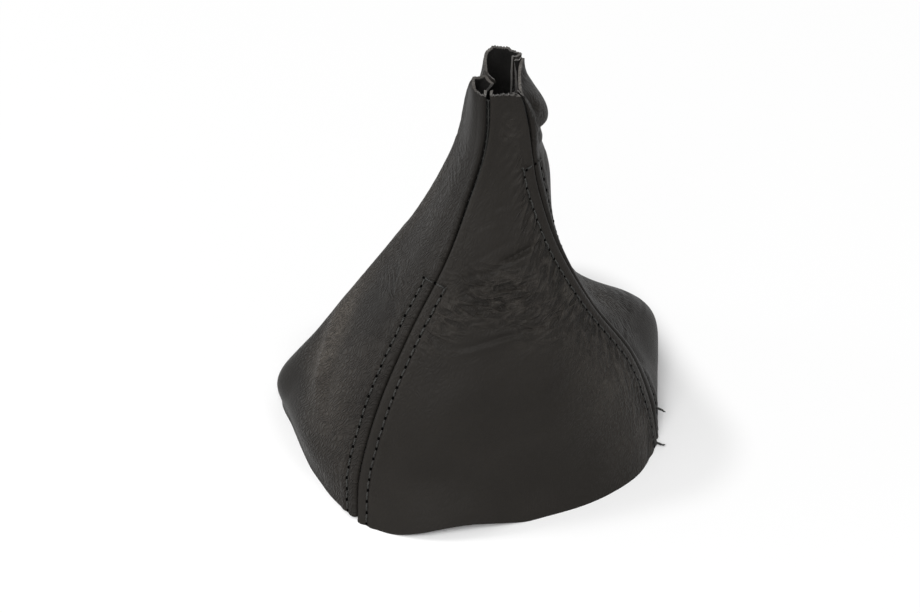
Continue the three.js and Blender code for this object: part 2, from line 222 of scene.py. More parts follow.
# Rows at even steps along the seams
rowCount = 216
fineT = np.linspace(0, 1, 2001)
seamSteps = np.linalg.norm(np.diff(seamPoints(fineT), axis=0), axis=-1).mean(axis=1)
seamLength = np.concatenate([[0], np.cumsum(seamSteps)])
rowT = np.interp(np.linspace(0, seamLength[-1], rowCount), seamLength, fineT)
rowHeight = np.linspace(0, seamLength[-1], rowCount)  # distance up the leather, in millimetres


latticeSize = 64


def noise(x, y, size, seed):
    # soft random hills about one size apart, from -1 to 1
    rng = np.random.default_rng(seed)
    lattice = rng.uniform(-1, 1, (latticeSize, latticeSize))
    x, y = np.asarray(x) / size, np.asarray(y) / size
    column, row = np.floor(x).astype(int), np.floor(y).astype(int)
    u, v = ease(x - column, 0, 1), ease(y - row, 0, 1)
    column, nextColumn = column % latticeSize, (column + 1) % latticeSize
    row, nextRow = row % latticeSize, (row + 1) % latticeSize
    low = lerp(lattice[row, column], lattice[row, nextColumn], u)
    high = lerp(lattice[nextRow, column], lattice[nextRow, nextColumn], u)
    return lerp(low, high, v)


# Creases in the leather. path goes through (share across the panel, share of the height); depth
# is below 0 for a ridge, and lip is the swell beside the crease, on its lower side.
creases = {
    "front": [
        {"path": ((0.42, 0.607), (0.53, 0.615), (0.66, 0.628), (0.82, 0.642)),
         "depth": 1.5, "width": 1.3, "lip": 0.9},
        {"path": ((0.14, 0.6), (0.33, 0.571), (0.52, 0.55), (0.65, 0.55), (0.76, 0.562)),
         "depth": 0.5, "width": 1.2, "lip": 0.3},
        {"path": ((0.25, 0.56), (0.45, 0.535), (0.6, 0.53), (0.74, 0.545)),
         "depth": 0.45, "width": 1.2, "lip": 0.25},
        {"path": ((0.13, 0.548), (0.22, 0.525), (0.32, 0.508), (0.48, 0.505)),
         "depth": 0.4, "width": 1.2, "lip": 0.2},
        {"path": ((0.34, 0.5), (0.48, 0.485), (0.62, 0.49)), "depth": 0.4, "width": 1.1, "lip": 0.2},
        {"path": ((0.1, 0.51), (0.17, 0.482), (0.25, 0.462)), "depth": 0.4, "width": 1.3, "lip": 0.2},
        {"path": ((0.09, 0.475), (0.16, 0.45), (0.22, 0.435)), "depth": 0.35, "width": 1.3, "lip": 0.2},
        {"path": ((0.56, 0.436), (0.66, 0.448), (0.75, 0.472), (0.79, 0.495)),
         "depth": 0.5, "width": 1.4, "lip": 0.3},
    ],
    "right": [
        {"path": ((0.16, 0.5), (0.17, 0.38), (0.14, 0.26), (0.08, 0.15)), "depth": 2.2, "width": 5, "lip": 0},
        {"path": ((-0.05, 0.87), (0.15, 0.88), (0.35, 0.868), (0.6, 0.85)),
         "depth": 2, "width": 2.4, "lip": 0.4},
        {"path": ((0.12, 1.0), (0.2, 0.965), (0.22, 0.93)), "depth": 1.6, "width": 3, "lip": 0.4},
    ],
    "rear": [
        {"path": ((0.3, 0.62), (0.5, 0.6), (0.7, 0.615)), "depth": 0.6, "width": 1.6, "lip": 0.3},
        {"path": ((0.25, 0.53), (0.5, 0.51), (0.75, 0.53)), "depth": 0.5, "width": 1.5, "lip": 0.3},
    ],
    "left": [
        {"path": ((0.2, 0.39), (0.31, 0.305), (0.46, 0.235), (0.62, 0.175)),
         "depth": -1.6, "width": 4, "lip": 0},
        {"path": ((0.35, 0.37), (0.48, 0.29), (0.62, 0.22), (0.74, 0.16)),
         "depth": 0.8, "width": 4, "lip": 0},
        {"path": ((0.3, 0.44), (0.5, 0.47), (0.7, 0.5)), "depth": 0.4, "width": 1.5, "lip": 0.2},
        {"path": ((0.2, 0.52), (0.45, 0.545), (0.62, 0.56)), "depth": 0.4, "width": 1.5, "lip": 0.2},
    ],
}

# Families of short creases, scattered over a patch of a panel. rise and across give the patch,
# length and tilt are in shares of it, and sag bends the middle down.
creaseFamilies = {
    "front": [
        {"count": 16, "across": (0.12, 0.8), "rise": (0.44, 0.6), "length": (0.14, 0.38), "tilt": 0.008,
         "sag": 0.008, "depth": (0.35, 0.75), "width": 1.2, "seed": 3},
        {"count": 12, "across": (0.2, 0.85), "rise": (0.62, 0.76), "length": (0.12, 0.25), "tilt": 0.006,
         "sag": 0, "depth": (0.08, 0.2), "width": 0.9, "seed": 5},
        {"count": 10, "across": (0.25, 0.85), "rise": (0.85, 0.97), "length": (0.2, 0.4), "tilt": 0.008,
         "sag": -0.004, "depth": (0.08, 0.2), "width": 0.8, "seed": 6},
    ],
    "left": [
        {"count": 14, "across": (0.1, 0.7), "rise": (0.55, 0.88), "length": (0.15, 0.35), "tilt": 0.02,
         "sag": 0, "depth": (0.1, 0.25), "width": 1.1, "seed": 7},
        {"count": 12, "across": (0.1, 0.8), "rise": (0.38, 0.52), "length": (0.12, 0.25), "tilt": 0.02,
         "sag": 0, "depth": (0.1, 0.22), "width": 1.1, "seed": 8},
    ],
    "right": [
        {"count": 22, "across": (0.15, 0.6), "rise": (0.2, 0.38), "length": (0.08, 0.2), "tilt": -0.02,
         "sag": 0, "depth": (0.15, 0.35), "width": 1.1, "seed": 9},
        {"count": 14, "across": (0.1, 0.9), "rise": (0.45, 0.85), "length": (0.2, 0.5), "tilt": 0.01,
         "sag": 0, "depth": (0.1, 0.25), "width": 1.0, "seed": 10},
    ],
    "rear": [
        {"count": 24, "across": (0.15, 0.85), "rise": (0.4, 0.7), "length": (0.12, 0.3), "tilt": 0.006,
         "sag": 0.005, "depth": (0.12, 0.3), "width": 1.0, "seed": 11},
    ],
}

# Puckers beside a seam, where the stitching gathers the leather: (left seam, right seam)
puckers = {
    "front": ({"depth": 0.08, "reach": 9, "slant": 0.6}, {"depth": 0.42, "reach": 13, "slant": 0.9}),
    "right": ({"depth": 0.2, "reach": 8, "slant": 0.8}, {"depth": 0.15, "reach": 8, "slant": 0.6}),
    "rear": ({"depth": 0.15, "reach": 8, "slant": 0.6}, {"depth": 0.15, "reach": 8, "slant": 0.6}),
    "left": ({"depth": 0.15, "reach": 8, "slant": 0.6}, {"depth": 0.07, "reach": 9, "slant": -0.5}),
}

creaseShape = {
    "steps": 40, "riseSteps": 400, "reach": 3, "endFade": 0.3, "lipAway": 1.6,
    "familyLip": 0.6, "tiltRange": (0.2, 1.6), "sagRange": (-0.3, 1),
}

leatherSheet = {
    "mainColumns": 134, "allowanceColumns": 7, "foldColumns": 7, "samples": 181,
    "softHills": ((0.5, 26), (0.22, 11)), "hillShift": 50,  # height and size of the slow unevenness
    "hillSeamFade": (3, 14), "hillWidths": (20, 60), "creaseSeamFade": (2, 7),
    "puckerStart": (5.5, 7), "puckerFalloff": 1.4, "puckerStrength": (0.55, 0.45), "puckerPatch": 14,
    "puckerDrift": {"size": 9, "far": 2.2},
    "seamPillow": {"height": 0.3, "gap": 2.7, "half": 2.6},
    "stitchChannel": {"depth": 0.32, "width": 1.1, "end": 2},
    "stitchBank": {"height": 0.25, "from": (5.5, 7), "until": (8.2, 10)},
    "hemEase": 9, "cutStep": 1.1, "cutShift": 31, "cutWander": ((1, 3), (0.5, 1.3)), "cutJitter": 0.6,
    "cutReach": 5,
    "rimLift": {"rear": 1.8}, "rimLiftAcross": (0.45, 0.5), "rimNap": 0.05,
    "napSize": 1.1, "fleshNap": 0.08, "sharpAngle": 60,
}


def scatteredCreases(family):
    # short creases at random places in the family's patch
    rng = np.random.default_rng(family["seed"])
    made = []
    for _ in range(family["count"]):
        length = rng.uniform(*family["length"])
        across = rng.uniform(family["across"][0], family["across"][1] - length)
        rise = rng.uniform(*family["rise"])
        tilt = rng.uniform(*creaseShape["tiltRange"]) * family["tilt"]
        wave = rng.uniform(*creaseShape["sagRange"]) * family["sag"]
        middle, end = across + length / 2, across + length
        made.append({
            "path": ((across, rise - tilt), (middle, rise - wave), (end, rise + tilt)),
            "depth": rng.uniform(*family["depth"]), "width": family["width"],
            "lip": family["depth"][1] * creaseShape["familyLip"],
        })
    return made


def creaseField(points, panel):
    # how deep the creases press in at each point, and their lips push out
    c = creaseShape
    name = panelNames[panel]
    paths = list(creases[name])
    for family in creaseFamilies[name]:
        paths += scatteredCreases(family)
    rises = np.linspace(0, 1, c["riseSteps"])
    riseT = np.interp(rises, seamPoints(fineT)[:, 0, 2] / gaiter["height"], fineT)
    u = np.linspace(0, 1, c["steps"])
    flat = points.reshape(-1, 3)
    field = np.zeros(len(flat))
    for crease in paths:
        width = crease["width"]
        reach = width * c["reach"]
        route = throughPoints(crease["path"], u)
        t = np.interp(route[:, 1], rises, riseT)
        share = np.clip(route[:, 0], 0, 1)
        line = np.stack([smoothPanel(panel, t[k:k + 1], share[k:k + 1])[0][0, 0] for k in range(len(u))])
        near = ((flat > line.min(0) - reach) & (flat < line.max(0) + reach)).all(1)
        if not near.any():
            continue
        gap = flat[near][:, None] - line[None]
        distance = np.linalg.norm(gap, axis=-1)
        nearest = distance.argmin(1)
        each = np.arange(len(nearest))
        distance = distance[each, nearest]
        endFade = ease(np.minimum(u[nearest], 1 - u[nearest]), 0, c["endFade"])
        groove = np.exp(-(distance / width) ** 2) * crease["depth"]
        lip = np.exp(-((distance - width * c["lipAway"]) / width) ** 2) * crease["lip"]
        lowerSide = gap[each, nearest, 2] < 0
        field[near] += (lip * lowerSide - groove) * endFade
    return field.reshape(points.shape[:2])


def unevenness(panel, points, distance):
    # how far the grain side stands out of the smooth panel: hills, creases, puckers and stitch channels
    p = leatherSheet
    pillow, channel, bank = p["seamPillow"], p["stitchChannel"], p["stitchBank"]
    length = distance[:, -1:]
    height = rowHeight[:, None] + 0 * distance
    fromSeam = np.minimum(distance, length - distance)
    hills = sum(out * noise(distance + p["hillShift"] * panel, height, size, seeds["hills"] + panel)
                for out, size in p["softHills"])
    body = hills * ease(fromSeam, *p["hillSeamFade"]) * ease(length, *p["hillWidths"])
    body = body + creaseField(points, panel) * ease(fromSeam, *p["creaseSeamFade"])
    for side, gap in enumerate((distance, length - distance)):
        pucker = puckers[panelNames[panel]][side]
        number = panel * 2 + side
        drift = noise(gap * 0.5, height, p["puckerDrift"]["size"], seeds["puckerDrift"] + number)
        climb = height + pucker["slant"] * gap + drift * p["puckerDrift"]["far"]
        low, more = p["puckerStrength"]
        strength = low + more * noise(5 + 0 * gap, height, p["puckerPatch"], seeds["puckerPatch"] + number)
        wave = pucker["depth"] * strength * np.sin(2 * np.pi * climb / gaiter["topstitchPitch"])
        wave = wave * ease(gap, *p["puckerStart"])
        body = body + wave * np.exp(-p["puckerFalloff"] * (gap / pucker["reach"]) ** 2)

        top = seams[(panel + side) % len(seams)]["top"]
        stitched = 1 - ease(points[..., 2], top - channel["end"], top + channel["end"])
        fromRow = (gap - gaiter["topstitchOffset"]) / channel["width"]
        body = body + pillow["height"] * bell((gap - pillow["gap"]) / pillow["half"])
        body = body - channel["depth"] * stitched * np.exp(-fromRow ** 2)
        body = body + bank["height"] * stitched * ease(gap, *bank["from"]) * (1 - ease(gap, *bank["until"]))
    return body


def panelSheet(panel):
    # one panel's leather, row by row, in millimetres
    p = leatherSheet
    share = np.linspace(0, 1, p["samples"])
    points, tangent = smoothPanel(panel, rowT, share)
    upward = np.gradient(points, rowHeight, axis=0)
    upward[0] = (0, 0, 1)
    normal = unit(np.cross(tangent, upward))
    seamUp = np.gradient(seamPoints(rowT), rowHeight, axis=0)
    seamUp[0] = (0, 0, 1)
    leftNormal = unit(np.cross(tangent[:, 0], seamUp[:, panel]))
    rightNormal = unit(np.cross(tangent[:, -1], seamUp[:, (panel + 1) % len(seams)]))
    steps = np.linalg.norm(np.diff(points, axis=1), axis=-1)
    distance = np.concatenate([np.zeros((rowCount, 1)), np.cumsum(steps, axis=1)], axis=1)
    length = distance[:, -1:]
    fromEdge = foldRadius + gaiter["openSeamGap"] / 2
    left = (1 - ease(distance, fromEdge, fromEdge + gaiter["seamStiff"]))[..., None]
    right = (1 - ease(length - distance, fromEdge, fromEdge + gaiter["seamStiff"]))[..., None]
    inside = np.maximum(0, 1 - left - right)
    normal = normal * inside + leftNormal[:, None] * left + rightNormal[:, None] * right
    normal[..., 2] *= ease(points[..., 2], -1, p["hemEase"])  # the hem stands square on the floor
    normal = unit(normal)

    rise = points[:, 0, 2] / gaiter["height"]
    tops = [seams[(panel + side) % len(seams)]["top"] / gaiter["height"] for side in (0, 1)]
    openness = [ease(rise, top, top + standingRise) for top in tops]
    allowance = lerp(gaiter["allowance"], gaiter["neckAllowance"], ease(rise, *trimRise))
    return {"points": points, "normal": normal, "distance": distance, "length": length[:, 0],
            "body": unevenness(panel, points, distance), "openness": openness, "allowance": allowance,
            "leftNormal": leftNormal, "rightNormal": rightNormal}


def alongRow(places, known, values):
    return np.stack([np.interp(places, known, values[:, k]) for k in range(3)], axis=-1)


def onSheet(sheet, distance, depth):
    # points at a distance from the left seam and a depth below the grain side, one row each
    out = np.empty(distance.shape + (3,))
    for row, known in enumerate(sheet["distance"]):
        base = alongRow(distance[row], known, sheet["points"][row])
        normal = unit(alongRow(distance[row], known, sheet["normal"][row]))
        push = np.interp(distance[row], known, sheet["body"][row])
        out[row] = base + normal * (push - depth[row])[:, None]
    return out


def foldedEdge(openness, allowance):
    # (distance, depth) of the grain side and the flesh side, from the cut edge over the fold
    p = leatherSheet
    turn = np.pi * (1 - openness / 2)
    start = lerp(gaiter["closedSeamGap"], gaiter["openSeamGap"], openness) / 2 + foldRadius
    sides = []
    for radius in (foldRadius, gaiter["foldGap"] / 2):
        columns = []
        for k in range(p["allowanceColumns"]):
            beyond = allowance * (1 - k / p["allowanceColumns"])
            columns.append((start - radius * np.sin(turn) - beyond * np.cos(turn),
                            foldRadius - radius * np.cos(turn) + beyond * np.sin(turn)))
        for k in range(p["foldColumns"]):
            angle = turn * (1 - k / p["foldColumns"])
            columns.append((start - radius * np.sin(angle), foldRadius - radius * np.cos(angle)))
        sides.append(np.array(columns).transpose(1, 2, 0))  # (distance or depth, row, column)
    return sides, start


def linkObject(name, data):
    thing = bpy.data.objects.new(name, data)
    bpy.context.scene.collection.objects.link(thing)
    return thing


def meshObject(name, vertices, faces, materialIndex=None):
    mesh = bpy.data.meshes.new(name)
    mesh.from_pydata(np.asarray(vertices, float).tolist(), [], faces)
    mesh.polygons.foreach_set("use_smooth", [True] * len(mesh.polygons))
    if materialIndex is not None:
        mesh.polygons.foreach_set("material_index", materialIndex)
    mesh.update()
    return linkObject(name, mesh)


grainPatches = {  # base strength of the grain, which also sets its painted glint, then patches: (share, rise, half share, half rise, more)
    "front": (0.1, ((0.82, 0.25, 0.25, 0.25, 0.6), (0.1, 0.5, 0.2, 0.3, 0.15), (0.9, 0.05, 0.25, 0.15, 0.4),
                    (0.45, 0.54, 0.45, 0.1, 0.2))),
    "right": (0.1, ((0.4, 0.31, 0.3, 0.07, 0.8), (0.3, 0.93, 0.4, 0.08, 0.3))),
    "rear": (0.5, ()),
    "left": (0.5, ((0.62, 0.24, 0.35, 0.17, 0.7), (0.38, 0.29, 0.2, 0.14, 0.9), (0.25, 0.38, 0.22, 0.12, 0.9),
                   (0.15, 0.62, 0.3, 0.25, 0.6), (0.62, 0.46, 0.3, 0.09, -0.35), (0.85, 0.12, 0.3, 0.15, 0.3),
                   (0.3, 0.12, 0.3, 0.12, -0.7), (0.7, 0.95, 0.7, 0.28, -0.6))),
}
grainLimits = (0.05, 1.7)
patternUnit = 200  # millimetres of leather to one unit of the pattern map

# Fine wrinkles run along lines that sag by so many millimetres from middle to middle +- half, and
# rise by tilt; their patches are as the grain's.
wrinkles = {
    "front": {"middle": 0.6, "half": 0.46, "sag": 8.5, "tilt": 0, "patches": (
        (0.45, 0.54, 0.45, 0.1, 1), (0.7, 0.46, 0.3, 0.1, 0.6), (0.55, 0.91, 0.35, 0.05, 0.45),
        (0.15, 0.48, 0.2, 0.1, 0.5))},
    "right": {"middle": 0.3, "half": 0.3, "sag": 0, "tilt": -0.8, "patches": (
        (0.3, 0.29, 0.3, 0.08, 0.6), (0.4, 0.7, 0.5, 0.2, 0.3), (0.2, 0.9, 0.3, 0.1, 0.3))},
    "rear": {"middle": 0.5, "half": 0.5, "sag": 5, "tilt": 0, "patches": ((0.5, 0.55, 0.45, 0.13, 0.8),)},
    "left": {"middle": 0.5, "half": 0.5, "sag": 3, "tilt": 0.25, "patches": (
        (0.6, 0.5, 0.4, 0.07, 0.7), (0.5, 0.75, 0.5, 0.16, 0.45), (0.85, 0.4, 0.2, 0.14, 0.4))},
}

# The stitching gathers the leather into short strokes beside each seam: (left seam, right seam),
# with how far they reach and how they lean low down and high up
gathers = {
    "front": ({"strength": 0.2, "reach": 8, "lean": (0.6, 0.6)},
              {"strength": 1.6, "reach": 19, "lean": (2.4, 1.1)}),
    "right": ({"strength": 0.4, "reach": 7, "lean": (0.8, 0.8)},
              {"strength": 0.35, "reach": 9, "lean": (0.6, 0.6)}),
    "rear": ({"strength": 0.4, "reach": 9, "lean": (0.6, 0.6)},
             {"strength": 0.4, "reach": 9, "lean": (0.6, 0.6)}),
    "left": ({"strength": 0.4, "reach": 9, "lean": (0.6, 0.6)},
             {"strength": 0.5, "reach": 9, "lean": (-2.2, -1.2)}),
}
gatherFade = {"leanRise": (0.25, 0.55), "fullWidth": 70, "leastReach": 0.3, "falloff": 1.2, "start": (4.6, 6),
              "belowTop": 0.06}


def patchStrength(patches, share, rise):
    # patches are (share, rise, half share, half rise, strength)
    return sum((more * bell((share - a) / halfShare) * bell((rise - r) / halfRise)
                for a, r, halfShare, halfRise, more in patches), np.zeros(share.shape))


def wrinkleFlow(name, gap, climb, share, rise):
    # for each point, how far along and across the wrinkles it lies (metres), and their strength
    w = wrinkles[name]
    acrossWrinkles = climb - w["sag"] * ((share - w["middle"]) / w["half"]) ** 2 + w["tilt"] * gap
    return np.stack([gap * mm, acrossWrinkles * mm, patchStrength(w["patches"], share, rise)], axis=-1)


def gatherFlow(name, gap, length, climb, rise):
    # the same for the strokes beside the nearer seam
    g = gatherFade
    left, right = gathers[name]
    fromRight = gap > length / 2
    near = np.where(fromRight, length - gap, gap)
    strength = np.where(fromRight, right["strength"], left["strength"])
    reach = np.where(fromRight, right["reach"], left["reach"])
    reach = reach * np.clip(length / g["fullWidth"], g["leastReach"], 1)
    climbed = ease(rise, *g["leanRise"])
    lean = np.where(fromRight, lerp(*right["lean"], climbed), lerp(*left["lean"], climbed))
    size = np.sqrt(1 + lean ** 2)
    leftTop, rightTop = (seams[(panelNames.index(name) + side) % len(seams)]["top"] / gaiter["height"]
                         for side in (0, 1))
    fade = np.exp(-g["falloff"] * (near / reach) ** 2) * ease(near, *g["start"])
    fade = fade * (1 - ease(rise, np.where(fromRight, rightTop, leftTop) - g["belowTop"], 1))
    return np.stack([near * size * mm, (climb + lean * near) / size * mm, strength * fade], axis=-1)


def roughen(panel, grain, flesh, share):
    # the cut edges wander a little, and the flesh side is uneven
    p = leatherSheet
    x = np.arange(grain.shape[1])[None, :] * p["cutStep"] + p["cutShift"] * panel + 0 * rowHeight[:, None]
    y = rowHeight[:, None] + 0 * x
    wander = sum(height * noise(x, y, size, seeds["cut"] + k)
                 for k, (height, size) in enumerate(p["cutWander"]))
    topShare = ease(rowHeight, rowHeight[-1] - p["cutReach"], rowHeight[-1])[:, None]
    middle, half = p["rimLiftAcross"]
    rimLift = p["rimLift"].get(panelNames[panel], 0) * bell((share - middle) / half)
    for layer in (grain, flesh):
        layer[..., 2] += (wander * p["cutJitter"] + rimLift) * topShare
    flesh[0, :, 2] = grain[0, :, 2]
    flesh[..., 2] = np.maximum(flesh[..., 2], grain[0, :, 2].min())
    nap = noise(x, y, p["napSize"], seeds["nap"]) * p["fleshNap"]
    flesh += unit(flesh - grain) * nap[..., None]


def closedShell(panel, grain, flesh, shift):
    # vertices: grain grid, flesh grid, then one ring in the middle of the cut edge
    columns = grain.shape[1]
    count = rowCount * columns
    index = np.arange(count).reshape(rowCount, columns)
    border = np.concatenate([index[0, :-1], index[:-1, -1], index[-1, :0:-1], index[:0:-1, 0]])
    flatGrain, flatFlesh = grain.reshape(-1, 3), flesh.reshape(-1, 3)
    rim = (flatGrain[border] + flatFlesh[border]) / 2
    rng = np.random.default_rng(seeds["rim"] + panel)
    rim = rim + rng.normal(0, leatherSheet["rimNap"], rim.shape)
    rim[:, 2] = np.maximum(rim[:, 2], 0)
    vertices = (np.concatenate([flatGrain, flatFlesh, rim]) + shift) * mm
    low, high = index[:-1, :-1], index[1:, :-1]
    grainFaces = np.stack([low, low + 1, high + 1, high], axis=-1).reshape(-1, 4)
    fleshFaces = grainFaces[:, ::-1] + count
    ring = np.arange(len(border)) + 2 * count
    after = np.roll(np.arange(len(border)), -1)
    grainRim = np.stack([border[after], border, ring, ring[after]], axis=-1)
    fleshRim = np.stack([ring[after], ring, border + count, border[after] + count], axis=-1)
    faces = np.concatenate([grainFaces, fleshFaces, grainRim, fleshRim]).tolist()
    kinds = [0] * len(grainFaces) + [1] * len(fleshFaces) + [2] * (2 * len(border))
    piece = meshObject(f"{panelNames[panel]}Leather", vertices, faces, kinds)
    piece.data.set_sharp_from_angle(angle=math.radians(leatherSheet["sharpAngle"]))
    return piece, border


def everyVertex(values, border):
    # what the grain's points hold, given to the flesh's and the rim's too
    return np.concatenate([values, values, values[border]])


def markLeather(piece, name, border, across, length, rise):
    # a pattern map that follows the leather, the grain's strength, and the ways of wrinkles and gathers
    climb = rowHeight[:, None] + 0 * across
    share = across / length
    u, v = (everyVertex(grid.reshape(-1), border) / patternUnit for grid in (across, climb))
    loops = np.empty(len(piece.data.loops), int)
    piece.data.loops.foreach_get("vertex_index", loops)
    pattern = piece.data.uv_layers.new(name="leatherPattern")
    pattern.uv.foreach_set("vector", np.stack([u[loops], v[loops]], axis=-1).ravel())
    base, patches = grainPatches[name]
    strength = (base + patchStrength(patches, share, rise)).clip(*grainLimits)
    attribute = piece.data.attributes.new("grainStrength", "FLOAT", "POINT")
    attribute.data.foreach_set("value", everyVertex(strength.reshape(-1), border))
    for label, flow in (("wrinkleFlow", wrinkleFlow(name, across, climb, share, rise)),
                        ("gatherFlow", gatherFlow(name, across, length, climb, rise))):
        attribute = piece.data.attributes.new(label, "FLOAT_VECTOR", "POINT")
        attribute.data.foreach_set("vector", everyVertex(flow.reshape(-1, 3), border).ravel())


def buildLeather(panel, shift):
    # the thick sheet with its turned-in edges, as one closed mesh in metres
    sheet = panelSheet(panel)
    (leftGrain, leftFlesh), leftStart = foldedEdge(sheet["openness"][0], sheet["allowance"])
    (rightGrain, rightFlesh), rightStart = foldedEdge(sheet["openness"][1], sheet["allowance"])
    length = sheet["length"][:, None]
    leftEdge, rightEdge = leftStart[:, None], rightStart[:, None]
    inner = np.linspace(0, 1, leatherSheet["mainColumns"])[None, :]
    main = leftEdge + (length - leftEdge - rightEdge) * inner
    layers = []
    for left, right, depth in ((leftGrain, rightGrain, 0), (leftFlesh, rightFlesh, gaiter["leather"])):
        distance = np.concatenate([left[0], main, length - right[0][:, ::-1]], axis=1)
        depths = np.concatenate([left[1], np.full(main.shape, float(depth)), right[1][:, ::-1]], axis=1)
        layers.append(onSheet(sheet, distance, depths))
    grain, flesh = layers
    # the turned-in columns count as lying at their fold
    leftTurned, rightTurned = leftEdge + 0 * leftGrain[0], length - rightEdge + 0 * rightGrain[0]
    across = np.concatenate([leftTurned, main, rightTurned], axis=1)
    roughen(panel, grain, flesh, across / length)
    piece, border = closedShell(panel, grain, flesh, shift)
    markLeather(piece, panelNames[panel], border, across, length, grain[..., 2] / gaiter["height"])
    return piece, sheet


# The frame says where the gaiter stands: its box is centred on the frame's.
shares = np.linspace(0, 1, 121)
everyPanel = np.concatenate([smoothPanel(panel, rowT, shares)[0].reshape(-1, 3) for panel in range(4)])
frameMiddle = (cadBox[0] + cadBox[1]) / 2 / mm
ownMiddle = (everyPanel.min(0) + everyPanel.max(0)) / 2
shift = np.array([frameMiddle.x - ownMiddle[0], frameMiddle.y - ownMiddle[1], 0])
print("form ready, shifted by", shift.round(2))

panelPieces = {}
panelSheets = []
for panel, name in enumerate(panelNames):
    panelPieces[name], sheet = buildLeather(panel, shift)
    panelSheets.append(sheet)
print("leather cut and folded")


def hidePlainSolid(piece, node):
    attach(piece, "root")
    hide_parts(node)


# Node helpers, for the stitches' Geometry Nodes and for the materials
def addNode(tree, kind, inputs=None, **settings):
    node = tree.nodes.new(kind)
    for key, value in settings.items():
        setattr(node, key, value)
    for key, value in (inputs or {}).items():
        socket = node.inputs[key]
        if isinstance(value, bpy.types.NodeSocket):
            tree.links.new(value, socket)
        else:
            socket.default_value = value
    return node


def mathNode(tree, operation, a, b=0.0, c=0.0):
    return addNode(tree, "ShaderNodeMath", {0: a, 1: b, 2: c}, operation=operation).outputs[0]


def newGroup(name, kind, inputs, outputs):
    # inputs are (name, kind of socket, default or None), and outputs are (name, kind of socket)
    tree = bpy.data.node_groups.new(name, kind)
    for label, socketKind, default in inputs:
        socket = tree.interface.new_socket(label, in_out="INPUT", socket_type=f"NodeSocket{socketKind}")
        if default is not None:
            socket.default_value = default
    for label, socketKind in outputs:
        tree.interface.new_socket(label, in_out="OUTPUT", socket_type=f"NodeSocket{socketKind}")
    return tree, tree.nodes.new("NodeGroupInput").outputs


# Sewing: stitches along a path whose points know which way is out of the leather
stitchShape = {"steps": 7, "sides": 8, "flatness": 0.62, "dimple": (1.0, 0.8, 0.2), "dimpleDepth": 0.05}


